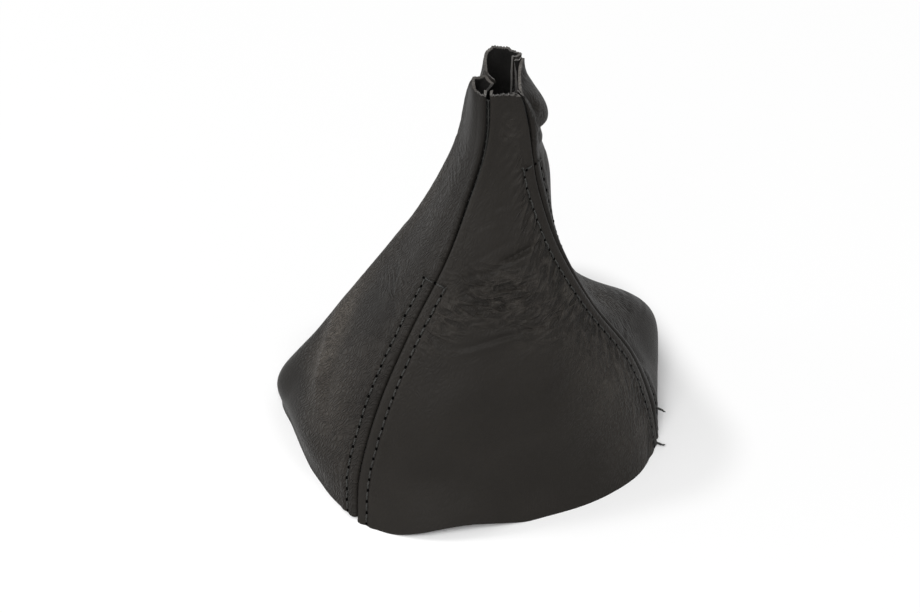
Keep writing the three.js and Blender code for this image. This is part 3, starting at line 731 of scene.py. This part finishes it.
def stitchTree():
    shape = stitchShape
    tree, source = newGroup("stitchRow", "GeometryNodeTree", (
        ("Geometry", "Geometry", None), ("Pitch", "Float", gaiter["topstitchPitch"] * mm),
        ("Stitch Length", "Float", 3 * mm), ("Thread Width", "Float", 0.8 * mm), ("Dip", "Float", 0.5 * mm),
        ("Turn", "Float", 0.0), ("Twists", "Float", 1.5), ("Uneven", "Float", 0.12),
        ("Hole Width", "Float", 1.1 * mm), ("Thread", "Material", None), ("Hole", "Material", None),
    ), (("Geometry", "Geometry"),))
    half = mathNode(tree, "MULTIPLY", source["Stitch Length"], 0.5)
    back = mathNode(tree, "MULTIPLY", half, -1)
    down = mathNode(tree, "MULTIPLY", source["Dip"], -1)
    start = addNode(tree, "ShaderNodeCombineXYZ", {"X": back, "Z": down}).outputs[0]
    crown = addNode(tree, "ShaderNodeCombineXYZ", {"Z": source["Dip"]}).outputs[0]
    end = addNode(tree, "ShaderNodeCombineXYZ", {"X": half, "Z": down}).outputs[0]
    bow = addNode(tree, "GeometryNodeCurveQuadraticBezier",
                  {"Resolution": shape["steps"], "Start": start, "Middle": crown, "End": end}).outputs[0]
    factor = addNode(tree, "GeometryNodeSplineParameter").outputs["Factor"]
    turns = mathNode(tree, "MULTIPLY", mathNode(tree, "MULTIPLY", factor, source["Twists"]), 2 * math.pi)
    twisted = addNode(tree, "GeometryNodeSetCurveTilt", {"Curve": bow, "Tilt": turns}).outputs[0]
    radius = mathNode(tree, "MULTIPLY", source["Thread Width"], 0.5)
    ring = addNode(tree, "GeometryNodeCurvePrimitiveCircle",
                   {"Resolution": shape["sides"], "Radius": radius}).outputs[0]
    flat = addNode(tree, "GeometryNodeTransform",
                   {"Geometry": ring, "Scale": (1.0, shape["flatness"], 1.0)}).outputs[0]
    stitch = addNode(tree, "GeometryNodeCurveToMesh",
                     {"Curve": twisted, "Profile Curve": flat, "Fill Caps": True}).outputs[0]

    # a needle hole at the stitch's foot, as a low dimple coloured near black: the hole's painted shade
    width = mathNode(tree, "MULTIPLY", source["Hole Width"], 0.5)
    dimple = addNode(tree, "GeometryNodeMeshIcoSphere", {"Radius": width, "Subdivisions": 1}).outputs[0]
    away = mathNode(tree, "MULTIPLY", source["Pitch"], -0.5)
    foot = addNode(tree, "ShaderNodeCombineXYZ", {"X": away, "Z": -shape["dimpleDepth"] * mm}).outputs[0]
    dimple = addNode(tree, "GeometryNodeTransform",
                     {"Geometry": dimple, "Translation": foot, "Scale": shape["dimple"]}).outputs[0]
    dimple = addNode(tree, "GeometryNodeStoreNamedAttribute",
                     {"Geometry": dimple, "Name": "needleHole", "Value": True},
                     data_type="BOOLEAN", domain="FACE").outputs[0]
    both = tree.nodes.new("GeometryNodeJoinGeometry")
    tree.links.new(dimple, both.inputs[0])
    tree.links.new(stitch, both.inputs[0])
    stitch = both.outputs[0]

    path = addNode(tree, "GeometryNodeMeshToCurve", {"Mesh": source["Geometry"]}).outputs[0]
    marks = addNode(tree, "GeometryNodeResampleCurve",
                    {"Curve": path, "Length": source["Pitch"]}, mode="LENGTH")
    outward = addNode(tree, "GeometryNodeInputNamedAttribute", {"Name": "outward"}, data_type="FLOAT_VECTOR")
    tangent = addNode(tree, "GeometryNodeInputTangent").outputs[0]
    stand = addNode(tree, "FunctionNodeAxesToRotation",
                    {"Primary Axis": outward.outputs["Attribute"], "Secondary Axis": tangent},
                    primary_axis="Z", secondary_axis="X").outputs[0]
    least, most, number = 2, 3, 1  # places of the node's sockets for single numbers
    wobble = addNode(tree, "FunctionNodeRandomValue", {least: -1.0, most: 1.0, "Seed": seeds["stitches"]},
                     data_type="FLOAT").outputs[number]
    swing = mathNode(tree, "MULTIPLY_ADD", wobble, source["Uneven"], source["Turn"])
    spin = addNode(tree, "ShaderNodeCombineXYZ", {"Z": swing}).outputs[0]
    spinRotation = addNode(tree, "FunctionNodeEulerToRotation", {0: spin}).outputs[0]
    turned = addNode(tree, "FunctionNodeRotateRotation", {0: stand, 1: spinRotation},
                     rotation_space="LOCAL").outputs[0]
    placed = addNode(tree, "GeometryNodeInstanceOnPoints",
                     {"Points": marks.outputs[0], "Instance": stitch, "Rotation": turned}).outputs[0]
    whole = addNode(tree, "GeometryNodeRealizeInstances", {0: placed}).outputs[0]
    smooth = addNode(tree, "GeometryNodeSetShadeSmooth", {0: whole}).outputs[0]
    holes = addNode(tree, "GeometryNodeInputNamedAttribute", {"Name": "needleHole"}, data_type="BOOLEAN")
    dyed = addNode(tree, "GeometryNodeSetMaterial",
                   {"Geometry": smooth, "Material": source["Thread"]}).outputs[0]
    finished = addNode(tree, "GeometryNodeSetMaterial", {
        "Geometry": dyed, "Selection": holes.outputs["Attribute"], "Material": source["Hole"]}).outputs[0]
    result = tree.nodes.new("NodeGroupOutput")
    tree.links.new(finished, result.inputs[0])
    return tree


def pathObject(name, runs):
    # runs of (points, outward directions) in millimetres become edges that the stitches follow
    points = np.concatenate([run[0] for run in runs]) * mm
    edges, start = [], 0
    for run, _ in runs:
        edges += [(start + k, start + k + 1) for k in range(len(run) - 1)]
        start += len(run)
    mesh = bpy.data.meshes.new(name)
    mesh.from_pydata(points.tolist(), edges, [])
    outward = mesh.attributes.new("outward", "FLOAT_VECTOR", "POINT")
    outward.data.foreach_set("vector", np.concatenate([run[1] for run in runs]).ravel())
    return linkObject(name, mesh)


def sewAlong(name, runs, tree, values):
    # stitches along the runs, as a plain mesh
    path = pathObject(name + "Path", runs)
    modifier = path.modifiers.new("stitches", "NODES")
    modifier.node_group = tree
    for item in tree.interface.items_tree:
        if item.in_out == "INPUT" and item.name in values:
            modifier[item.identifier] = values[item.name]
    evaluated = path.evaluated_get(bpy.context.evaluated_depsgraph_get())
    mesh = bpy.data.meshes.new_from_object(evaluated)
    bpy.data.objects.remove(path)
    mesh.name = name
    return linkObject(name, mesh)


def seamSide(panel, fromRight, gap, lift):
    # a line up a panel at a distance from its seam, lifted off the leather
    sheet = panelSheets[panel]
    distance = sheet["length"] - gap if fromRight else np.full(rowCount, float(gap))
    points = onSheet(sheet, distance[:, None], np.full((rowCount, 1), -float(lift)))[:, 0] + shift
    return points, sheet["rightNormal"] if fromRight else sheet["leftNormal"]


def stretchOf(points, normals, heights):
    # a line's points at these distances up the leather, and the ways out of it there
    return alongRow(heights, rowHeight, points), unit(alongRow(heights, rowHeight, normals))


def tubeMesh(points, radii, sides=6):
    # a closed thin tube along points, as vertices and faces
    points = np.asarray(points, float)
    tangent = unit(np.gradient(points, axis=0))
    aslant = (0.3, 0.2, 1.0)  # a direction that no thread here runs along
    side = unit(np.cross(tangent, aslant))
    up = np.cross(side, tangent)
    angle = np.arange(sides) * 2 * np.pi / sides
    ring = side[:, None] * np.cos(angle)[:, None] + up[:, None] * np.sin(angle)[:, None]
    vertices = (points[:, None] + ring * np.asarray(radii)[:, None, None]).reshape(-1, 3)
    faces = []
    for row in range(len(points) - 1):
        for k in range(sides):
            a, b = row * sides + k, row * sides + (k + 1) % sides
            faces.append((a, a + sides, b + sides, b))
    faces.append(tuple(range(sides)))
    faces.append(tuple(range(len(vertices) - 1, len(vertices) - 1 - sides, -1)))
    return vertices, faces


def joinInto(piece, parts, material):
    # adds closed tubes to a piece's mesh
    slot = [held.name if held else "" for held in piece.data.materials].index(material.name)
    joined = bmesh.new()
    joined.from_mesh(piece.data)
    for vertices, faces in parts:
        made = [joined.verts.new(v * mm) for v in vertices]
        for corners in faces:
            face = joined.faces.new([made[k] for k in corners])
            face.smooth = True
            face.material_index = slot
    bmesh.ops.recalc_face_normals(joined, faces=joined.faces[:])
    joined.to_mesh(piece.data)
    joined.free()


looseThread = {  # lengths are shares of the tail's length, and radii are in thread widths
    "steps": 9, "sway": 0.25, "droop": -0.3, "main": 0.7, "curl": 0.4, "mainRadii": (0.6, 0.5),
    "plies": 3, "spread": (0.2, 0.5), "ply": 0.4, "plyCurl": 0.12, "plyRadii": (0.38, 0.2),
}


def looseEnd(start, direction, length, seed, threadWidth):
    # a cut thread that curls and opens into its plies at the end
    loose = looseThread
    rng = np.random.default_rng(seed)
    direction = unit(np.array(direction, float))
    across = unit(np.cross(direction, (0, 0, 1.0)))
    u = np.linspace(0, 1, loose["steps"])[:, None]
    bend = across * rng.uniform(-loose["sway"], loose["sway"]) + np.array([0, 0, loose["droop"]])
    main = start + direction * length * loose["main"] * u + bend * length * loose["curl"] * u ** 2
    parts = [tubeMesh(main, np.linspace(*loose["mainRadii"], loose["steps"]) * threadWidth)]
    for _ in range(loose["plies"]):
        spread = unit(rng.normal(0, 1, 3)) * rng.uniform(*loose["spread"])
        ply = main[-1] + (direction + bend + spread) * length * loose["ply"] * u
        ply = ply + spread * length * loose["plyCurl"] * u ** 2
        parts.append(tubeMesh(ply, np.linspace(*loose["plyRadii"], loose["steps"]) * threadWidth))
    return parts


# Shader groups that several materials share
grainShape = {"driftScale": 22.0, "driftFar": 0.03, "cellWall": 0.42, "smallCells": 2.3, "smallDepth": -0.35,
              "poreScale": 700.0, "valleyShare": 0.6}


def leatherGrainGroup():
    shape = grainShape
    tree, source = newGroup("leatherGrain", "ShaderNodeTree", (
        ("Place", "Vector", None), ("Pebble", "Float", 140.0), ("Stretch", "Float", 0.6),
        ("Strength", "Float", 1.0), ("Fine", "Float", 0.3),
    ), (("Height", "Float"), ("Valley", "Float")))
    wander = addNode(tree, "ShaderNodeTexNoise",
                     {"Vector": source["Place"], "Scale": shape["driftScale"], "Detail": 2.0},
                     noise_dimensions="2D")
    drift = addNode(tree, "ShaderNodeVectorMath", {0: wander.outputs["Color"], 1: (0.5, 0.5, 0.5)},
                    operation="SUBTRACT").outputs[0]
    drift = addNode(tree, "ShaderNodeVectorMath", {0: drift, "Scale": shape["driftFar"]},
                    operation="SCALE").outputs[0]
    place = addNode(tree, "ShaderNodeVectorMath", {0: source["Place"], 1: drift}, operation="ADD").outputs[0]
    squash = addNode(tree, "ShaderNodeCombineXYZ", {"X": 1.0, "Y": source["Stretch"], "Z": 1.0}).outputs[0]
    place = addNode(tree, "ShaderNodeVectorMath", {0: place, 1: squash}, operation="MULTIPLY").outputs[0]
    big = addNode(tree, "ShaderNodeTexVoronoi", {"Vector": place, "Scale": source["Pebble"]},
                  voronoi_dimensions="2D", feature="DISTANCE_TO_EDGE").outputs["Distance"]
    pebble = addNode(tree, "ShaderNodeMapRange",
                     {"Value": big, "From Min": 0.0, "From Max": shape["cellWall"]},
                     interpolation_type="SMOOTHERSTEP").outputs[0]
    smaller = mathNode(tree, "MULTIPLY", source["Pebble"], shape["smallCells"])
    small = addNode(tree, "ShaderNodeTexVoronoi", {"Vector": place, "Scale": smaller},
                    voronoi_dimensions="2D", feature="SMOOTH_F1").outputs["Distance"]
    pores = addNode(tree, "ShaderNodeTexNoise",
                    {"Vector": source["Place"], "Scale": shape["poreScale"], "Detail": 3.0},
                    noise_dimensions="2D").outputs[0]
    mixed = mathNode(tree, "MULTIPLY_ADD", small, shape["smallDepth"], pebble)
    scaled = mathNode(tree, "MULTIPLY", mixed, source["Strength"])
    fine = mathNode(tree, "MULTIPLY", pores, source["Fine"])
    height = mathNode(tree, "ADD", scaled, fine)
    # the Valley output darkens the colour in the grain's valleys as a painted shade, and makes them rougher
    shown = mathNode(tree, "MINIMUM", source["Strength"], 1.0)
    shown = mathNode(tree, "MULTIPLY", shown, shape["valleyShare"])
    valleyShade = mathNode(tree, "MULTIPLY", mathNode(tree, "SUBTRACT", 1.0, pebble), shown)
    result = tree.nodes.new("NodeGroupOutput")
    tree.links.new(height, result.inputs["Height"])
    tree.links.new(valleyShade, result.inputs["Valley"])
    return tree


foldShape = {"layers": ((1.0, 0.0), (1.6, 7.3)), "distortion": 0.4, "second": 0.3, "mean": 0.25}


def foldLinesGroup():
    # thin ridges that run along one direction of a flow: Flow holds (along, across, strength). The ridge
    # shading it gives out is painted light on the ridges and painted shade between them
    shape = foldShape
    tree, source = newGroup("foldLines", "ShaderNodeTree", (
        ("Flow", "Vector", None), ("Length", "Float", 0.014), ("Spacing", "Float", 0.0026),
        ("Sharpness", "Float", 3.0),
    ), (("Height", "Float"), ("Crest", "Float")))
    part = addNode(tree, "ShaderNodeSeparateXYZ", {0: source["Flow"]}).outputs
    along = mathNode(tree, "DIVIDE", part["X"], source["Length"])
    across = mathNode(tree, "DIVIDE", part["Y"], source["Spacing"])
    layers = []
    for share, shiftBy in shape["layers"]:
        place = addNode(tree, "ShaderNodeCombineXYZ", {
            "X": mathNode(tree, "MULTIPLY_ADD", along, share, shiftBy),
            "Y": mathNode(tree, "MULTIPLY_ADD", across, share, shiftBy)}).outputs[0]
        hills = addNode(tree, "ShaderNodeTexNoise",
                        {"Vector": place, "Scale": 1.0, "Detail": 1.0, "Distortion": shape["distortion"]},
                        noise_dimensions="2D").outputs[0]
        away = mathNode(tree, "ABSOLUTE", mathNode(tree, "MULTIPLY_ADD", hills, 2, -1))
        sharp = mathNode(tree, "MULTIPLY", away, source["Sharpness"])
        layers.append(mathNode(tree, "SUBTRACT", 1.0, mathNode(tree, "MINIMUM", sharp, 1.0)))
    both = mathNode(tree, "MULTIPLY_ADD", layers[1], shape["second"], layers[0])
    fromMean = mathNode(tree, "SUBTRACT", both, shape["mean"])
    result = tree.nodes.new("NodeGroupOutput")
    tree.links.new(mathNode(tree, "MULTIPLY", both, part["Z"]), result.inputs["Height"])
    tree.links.new(mathNode(tree, "MULTIPLY", fromMean, part["Z"]), result.inputs["Crest"])
    return tree


def fibreGroup():
    tree, source = newGroup("suedeFibre", "ShaderNodeTree",
                            (("Place", "Vector", None), ("Scale", "Float", 900.0)),
                            (("Height", "Float"), ("Patches", "Float")))
    nap = addNode(tree, "ShaderNodeTexNoise", {
        "Vector": source["Place"], "Scale": source["Scale"], "Detail": 6.0, "Roughness": 0.7,
        "Distortion": 1.2}).outputs[0]
    coarse = mathNode(tree, "MULTIPLY", source["Scale"], 0.18)
    patches = addNode(tree, "ShaderNodeTexNoise",
                      {"Vector": source["Place"], "Scale": coarse, "Detail": 4.0}).outputs[0]
    result = tree.nodes.new("NodeGroupOutput")
    tree.links.new(mathNode(tree, "MULTIPLY_ADD", patches, 0.6, nap), result.inputs["Height"])
    tree.links.new(patches, result.inputs["Patches"])
    return tree


grainGroup = leatherGrainGroup()
foldGroup = foldLinesGroup()
suedeGroup = fibreGroup()


def newMaterial(name):
    material = bpy.data.materials.new(name)
    material.use_nodes = True
    tree = material.node_tree
    return material, tree, tree.nodes["Principled BSDF"]


leatherFinish = {  # linear colours of the dark dye on high grain and of the painted shade in its valleys; heights in metres
    "colour": (0.0155, 0.0138, 0.012), "valleyShade": (0.009, 0.008, 0.007),
    "roughness": (0.46, 0.62), "specular": 0.08, "sheen": 0.02, "sheenRoughness": 0.4,
    "grainHeight": 0.0006, "fine": 0.12, "wornScale": 9.0, "wornTone": (0.85, 1.15),
    # from smooth to grainy leather the colour is scaled up as a painted glint; wrinkle ridges get painted
    # light and painted shade
    "smoothGlintTone": 0.92, "grainyGlintTone": 6.5, "grainRange": (0.1, 1.6), "ridgeShadingTone": 0.9, "leastRidgeShading": 0.3,
    # per panel, a painted shade that scales the colour: darker on the left and right flanks
    "dye": {"front": 1.05, "right": 0.75, "rear": 1, "left": 0.7},
    "pebbles": {"front": (140, 0.45), "right": (150, 0.5), "rear": (150, 0.5), "left": (150, 0.4)},
}
strokeFinish = {  # the lines that the two flows draw, in metres
    "wrinkleFlow": {"Spacing": 0.004, "Length": 0.01, "Sharpness": 3.4, "height": 0.0008},
    "gatherFlow": {"Spacing": 0.0029, "Length": 0.014, "Sharpness": 3.2, "height": 0.0011},
}


def mixedColour(tree, factor, low, high):
    return addNode(tree, "ShaderNodeMix", {"Factor": factor, "A": (*low, 1), "B": (*high, 1)},
                   data_type="RGBA").outputs["Result"]


def leatherMaterial(panelName):
    f = leatherFinish
    pebble, stretch = f["pebbles"][panelName]
    material, tree, skin = newMaterial(f"{panelName}GrainLeather")
    pattern = addNode(tree, "ShaderNodeUVMap", uv_map="leatherPattern").outputs[0]
    strength = addNode(tree, "ShaderNodeAttribute", attribute_name="grainStrength").outputs["Fac"]
    grain = addNode(tree, "ShaderNodeGroup", node_tree=grainGroup)
    tree.links.new(pattern, grain.inputs["Place"])
    tree.links.new(strength, grain.inputs["Strength"])
    grain.inputs["Pebble"].default_value = pebble
    grain.inputs["Stretch"].default_value = stretch
    grain.inputs["Fine"].default_value = f["fine"]

    # the dye is worn in slow patches; grainy places are made paler as a painted glint, and each panel's
    # colour is scaled by a painted shade
    worn = addNode(tree, "ShaderNodeTexNoise", {"Vector": pattern, "Scale": f["wornScale"], "Detail": 3.0},
                   noise_dimensions="2D").outputs[0]
    least, most = f["wornTone"]
    tone = addNode(tree, "ShaderNodeMapRange", {"Value": worn, "To Min": least, "To Max": most}).outputs[0]
    smoothest, grainiest = f["grainRange"]
    grainyShare = addNode(tree, "ShaderNodeMapRange",
                     {"Value": strength, "From Min": smoothest, "From Max": grainiest}).outputs[0]
    glintAndPanelShade = addNode(tree, "ShaderNodeMapRange", {
        "Value": mathNode(tree, "MULTIPLY", grainyShare, grainyShare), "To Min": f["smoothGlintTone"] * f["dye"][panelName],
        "To Max": f["grainyGlintTone"] * f["dye"][panelName]}).outputs[0]
    tone = mathNode(tree, "MULTIPLY", tone, glintAndPanelShade)
    height = mathNode(tree, "MULTIPLY", grain.outputs["Height"], f["grainHeight"])
    for label, stroke in strokeFinish.items():
        flow = addNode(tree, "ShaderNodeAttribute", attribute_name=label).outputs["Vector"]
        lines = addNode(tree, "ShaderNodeGroup", node_tree=foldGroup)
        tree.links.new(flow, lines.inputs["Flow"])
        for key in ("Spacing", "Length", "Sharpness"):
            lines.inputs[key].default_value = stroke[key]
        height = mathNode(tree, "MULTIPLY_ADD", lines.outputs["Height"], stroke["height"], height)
        # the wrinkles and gathers are painted lighter on their ridges and darker between them, as painted
        # light and shade
        ridgeShading = mathNode(tree, "MULTIPLY_ADD", lines.outputs["Crest"], f["ridgeShadingTone"], 1.0)
        tone = mathNode(tree, "MULTIPLY", tone, mathNode(tree, "MAXIMUM", ridgeShading, f["leastRidgeShading"]))
    # the valleys take the darker colour, a painted shade
    colour = mixedColour(tree, grain.outputs["Valley"], f["colour"], f["valleyShade"])
    tinted = addNode(tree, "ShaderNodeVectorMath", {0: colour, "Scale": tone}, operation="SCALE").outputs[0]
    tree.links.new(tinted, skin.inputs["Base Color"])

    shiny, dry = f["roughness"]
    shine = addNode(tree, "ShaderNodeMapRange",
                    {"Value": grain.outputs["Valley"], "To Min": shiny, "To Max": dry}).outputs[0]
    tree.links.new(shine, skin.inputs["Roughness"])
    skin.inputs["Specular IOR Level"].default_value = f["specular"]
    skin.inputs["Sheen Weight"].default_value = f["sheen"]
    skin.inputs["Sheen Roughness"].default_value = f["sheenRoughness"]
    bump = addNode(tree, "ShaderNodeBump", {"Height": height, "Distance": 1.0, "Strength": 1.0})
    tree.links.new(bump.outputs[0], skin.inputs["Normal"])
    return material


fibres = {
    "suedeBack": {"low": (0.004, 0.0037, 0.0034), "high": (0.016, 0.015, 0.014), "roughness": 0.95,
                  "scale": 900, "bump": 0.0004, "sheen": 0, "specular": 0.2},
    "rawCutEdge": {"low": (0.03, 0.028, 0.026), "high": (0.12, 0.11, 0.1), "roughness": 0.9,
                   "scale": 1500, "bump": 0.0003, "sheen": 0.2, "specular": 0.2},
    # the black thread's paler patches are painted glints
    "blackThread": {"low": (0.004, 0.004, 0.004), "high": (0.04, 0.04, 0.037), "roughness": 0.4,
                    "scale": 2500, "bump": 0.0001, "sheen": 0, "specular": 0.2},
    # near black and without reflection, a painted shade for the needle holes
    "needleHole": {"low": (0.001, 0.001, 0.001), "high": (0.002, 0.002, 0.002), "roughness": 0.95,
                   "scale": 2500, "bump": 0.0001, "sheen": 0, "specular": 0},
}


def fibreMaterial(name):
    f = fibres[name]
    material, tree, skin = newMaterial(name)
    place = addNode(tree, "ShaderNodeTexCoord").outputs["Object"]
    fibre = addNode(tree, "ShaderNodeGroup", node_tree=suedeGroup)
    tree.links.new(place, fibre.inputs["Place"])
    fibre.inputs["Scale"].default_value = f["scale"]
    colour = mixedColour(tree, fibre.outputs["Patches"], f["low"], f["high"])
    tree.links.new(colour, skin.inputs["Base Color"])
    skin.inputs["Roughness"].default_value = f["roughness"]
    skin.inputs["Specular IOR Level"].default_value = f["specular"]
    skin.inputs["Sheen Weight"].default_value = f["sheen"]
    bump = addNode(tree, "ShaderNodeBump", {"Height": fibre.outputs["Height"], "Distance": f["bump"]})
    tree.links.new(bump.outputs[0], skin.inputs["Normal"])
    return material


suede, cutEdge, threadWithGlints, needleHole = (fibreMaterial(name) for name in fibres)

for panel, name in enumerate(panelNames):
    piece = panelPieces[name]
    for material in (leatherMaterial(name), suede, cutEdge):
        piece.data.materials.append(material)
    hidePlainSolid(piece, f"{name}_panel")
    sheet = panelSheets[panel]
print("leather dressed")

sewing = {  # millimetres; a row ends a share of the pitch, rowEnd, below the short row
    "stitchLength": 3.8, "threadWidth": 0.95, "lift": 0.3, "holeWidth": 1.6, "crossGap": 2.9,
    "rowEnd": 0.4, "step": 0.8, "tailLength": 4.5, "tailShares": (1, 0.7), "tailWay": (0.35, -0.1, -0.45),
}
lacing = {  # the thread that closes a seam: it lies deep between the folds, with a core that shuts them
    "depth": 2.35, "margin": 2, "step": 0.8, "coreWidth": 0.86,
    "stitch": {"Pitch": 3.6 * mm, "Stitch Length": 2.7 * mm, "Thread Width": 0.55 * mm, "Dip": 0.1 * mm,
               "Turn": math.pi / 2 - 0.3, "Hole Width": 0.4 * mm},
}
stitches = stitchTree()
dressing = {"Thread": threadWithGlints, "Hole": needleHole}


def camelCase(name):
    first, *others = name.split("_")
    return first + "".join(word.capitalize() for word in others)


def topstitch(seamIndex):
    # a row beside the seam on each panel, a short row across their tops, and the loose ends at the hem
    s, seam = sewing, seams[seamIndex]
    rows, crossing = [], []
    for panel, fromRight, margin in (((seamIndex - 1) % len(seams), True, seam["hemMargins"][0]),
                                     (seamIndex, False, seam["hemMargins"][1])):
        points, normals = seamSide(panel, fromRight, gaiter["topstitchOffset"], s["lift"])
        top = np.interp(seam["top"], points[:, 2], rowHeight)
        heights = np.arange(margin, top - gaiter["topstitchPitch"] * s["rowEnd"], s["step"])
        rows.append(stretchOf(points, normals, heights))
        points, normals = seamSide(panel, fromRight, s["crossGap"], s["lift"])
        top = np.interp(seam["top"], points[:, 2], rowHeight)
        crossing.append(stretchOf(points, normals, [top]))
    across = tuple(np.concatenate(ends) for ends in zip(*crossing))
    piece = sewAlong(f"{camelCase(seam['name'])}Topstitch", [*rows, across], stitches, {
        "Pitch": gaiter["topstitchPitch"] * mm, "Stitch Length": s["stitchLength"] * mm,
        "Thread Width": s["threadWidth"] * mm, "Hole Width": s["holeWidth"] * mm, **dressing})
    if seam["tails"]:
        loose = []
        for number, ((points, ways), share) in enumerate(zip(rows, s["tailShares"])):
            loose += looseEnd(points[0], ways[0] + np.array(s["tailWay"]), s["tailLength"] * share,
                              seeds["looseEnd"] + number, s["threadWidth"])
        joinInto(piece, loose, threadWithGlints)
    hidePlainSolid(piece, f"{seam['name']}_topstitch")


def seamThread(seamIndex):
    name = seams[seamIndex]["name"]
    normals = panelSheets[seamIndex]["leftNormal"]
    inside = seamPoints(rowT)[:, seamIndex] + shift - normals * lacing["depth"]
    heights = np.arange(lacing["margin"], rowHeight[-1] - lacing["margin"], lacing["step"])
    run, out = stretchOf(inside, normals, heights)
    piece = sewAlong(f"{camelCase(name)}SeamStitches", [(run, out)], stitches,
                     {**lacing["stitch"], **dressing})
    joinInto(piece, [tubeMesh(run, np.full(len(run), lacing["coreWidth"] / 2))], threadWithGlints)
    hidePlainSolid(piece, f"{name}_seam_thread")


for seamIndex in range(len(seams)):
    topstitch(seamIndex)
    seamThread(seamIndex)
print("seams sewn and topstitched")

# Floor, light and camera
studio = {  # metres and watts; the floor turns white to the camera away from the gaiter, so its shadow stays
    "floorHalf": 2.0, "floorColour": (0.9, 0.9, 0.9), "whiteShare": 0.94,
    "footprintCore": (0.055, 0.045), "footprintEdge": (0.029, 0.05),
    "worldStrength": 0.4, "lampsAim": (0, 0, 0.06),
    "key": {"at": (-0.55, -0.75, 0.95), "size": 0.8, "power": 13.5},
    "side": {"at": (-0.9, 0.45, 0.5), "size": 0.35, "power": 6},
    "fill": {"at": (0.4, -0.8, 0.9), "size": 0.7, "power": 2},
}


def straightRays(tree):
    path = addNode(tree, "ShaderNodeLightPath").outputs
    seen = mathNode(tree, "MAXIMUM", path["Is Camera Ray"], path["Is Glossy Ray"])
    return mathNode(tree, "MAXIMUM", seen, path["Is Transmission Ray"])


def whiteFloor():
    half = studio["floorHalf"]
    corners = [(-half, -half, 0), (half, -half, 0), (half, half, 0), (-half, half, 0)]
    floor = meshObject("studioFloor", corners, [(0, 1, 2, 3)])
    material, tree, skin = newMaterial("paleFloor")
    skin.inputs["Base Color"].default_value = (*studio["floorColour"], 1)
    skin.inputs["Roughness"].default_value = 0.9
    skin.inputs["Specular IOR Level"].default_value = 0.0
    glow = addNode(tree, "ShaderNodeEmission", {"Color": (1, 1, 1, 1), "Strength": 1.0})
    seen = straightRays(tree)
    place = addNode(tree, "ShaderNodeTexCoord").outputs["Object"]
    across = addNode(tree, "ShaderNodeVectorMath", {0: place}, operation="ABSOLUTE").outputs[0]
    beyond = addNode(tree, "ShaderNodeVectorMath", {0: across, 1: (*studio["footprintCore"], 0)},
                     operation="SUBTRACT").outputs[0]
    beyond = addNode(tree, "ShaderNodeVectorMath", {0: beyond, 1: (0, 0, 0)}, operation="MAXIMUM").outputs[0]
    away = addNode(tree, "ShaderNodeVectorMath", {0: beyond}, operation="LENGTH").outputs["Value"]
    near, far = studio["footprintEdge"]
    share = addNode(tree, "ShaderNodeMapRange",
                    {"Value": away, "From Min": near, "From Max": far, "To Max": studio["whiteShare"]},
                    interpolation_type="SMOOTHSTEP")
    amount = mathNode(tree, "MULTIPLY", seen, share.outputs[0])
    mixed = addNode(tree, "ShaderNodeMixShader", {0: amount, 1: skin.outputs[0], 2: glow.outputs[0]})
    tree.links.new(mixed.outputs[0], tree.nodes["Material Output"].inputs["Surface"])
    floor.data.materials.append(material)


def softLamp(name):
    lamp = studio[name]
    data = bpy.data.lights.new(f"{name}Lamp", "AREA")
    data.shape = "DISK"
    data.size = lamp["size"]
    data.energy = lamp["power"]
    thing = linkObject(f"{name}Lamp", data)
    thing.location = lamp["at"]
    aim = Vector(studio["lampsAim"]) - thing.location
    thing.rotation_euler = aim.to_track_quat("-Z", "Y").to_euler()


def whiteWorld():
    world = bpy.data.worlds.new("studioWorld")
    world.use_nodes = True
    bpy.context.scene.world = world
    tree = world.node_tree
    plain = tree.nodes["Background"]
    plain.inputs["Color"].default_value = (1, 1, 1, 1)
    plain.inputs["Strength"].default_value = studio["worldStrength"]
    white = addNode(tree, "ShaderNodeBackground", {"Color": (1, 1, 1, 1), "Strength": 1.0})
    seen = straightRays(tree)
    mixed = addNode(tree, "ShaderNodeMixShader", {0: seen, 1: plain.outputs[0], 2: white.outputs[0]})
    tree.links.new(mixed.outputs[0], tree.nodes["World Output"].inputs["Surface"])


view = {"azimuth": -22, "elevation": 38, "distance": 0.913, "lens": 85, "sensor": 36,
        "target": (-2.7, 1.1, 56)}


def photoCamera():
    data = bpy.data.cameras.new("photoCamera")
    data.lens = view["lens"]
    data.sensor_width = view["sensor"]
    camera = linkObject("photoCamera", data)
    a, e = math.radians(view["azimuth"]), math.radians(view["elevation"])
    back = Vector((math.sin(a) * math.cos(e), -math.cos(a) * math.cos(e), math.sin(e)))
    camera.location = Vector((np.array(view["target"]) + shift) * mm) + back * view["distance"]
    camera.rotation_euler = (-back).to_track_quat("-Z", "Y").to_euler()
    bpy.context.scene.camera = camera


whiteFloor()
whiteWorld()
for name in ("key", "side", "fill"):
    softLamp(name)
photoCamera()
bpy.context.scene.view_settings.view_transform = "Standard"
print("studio set")
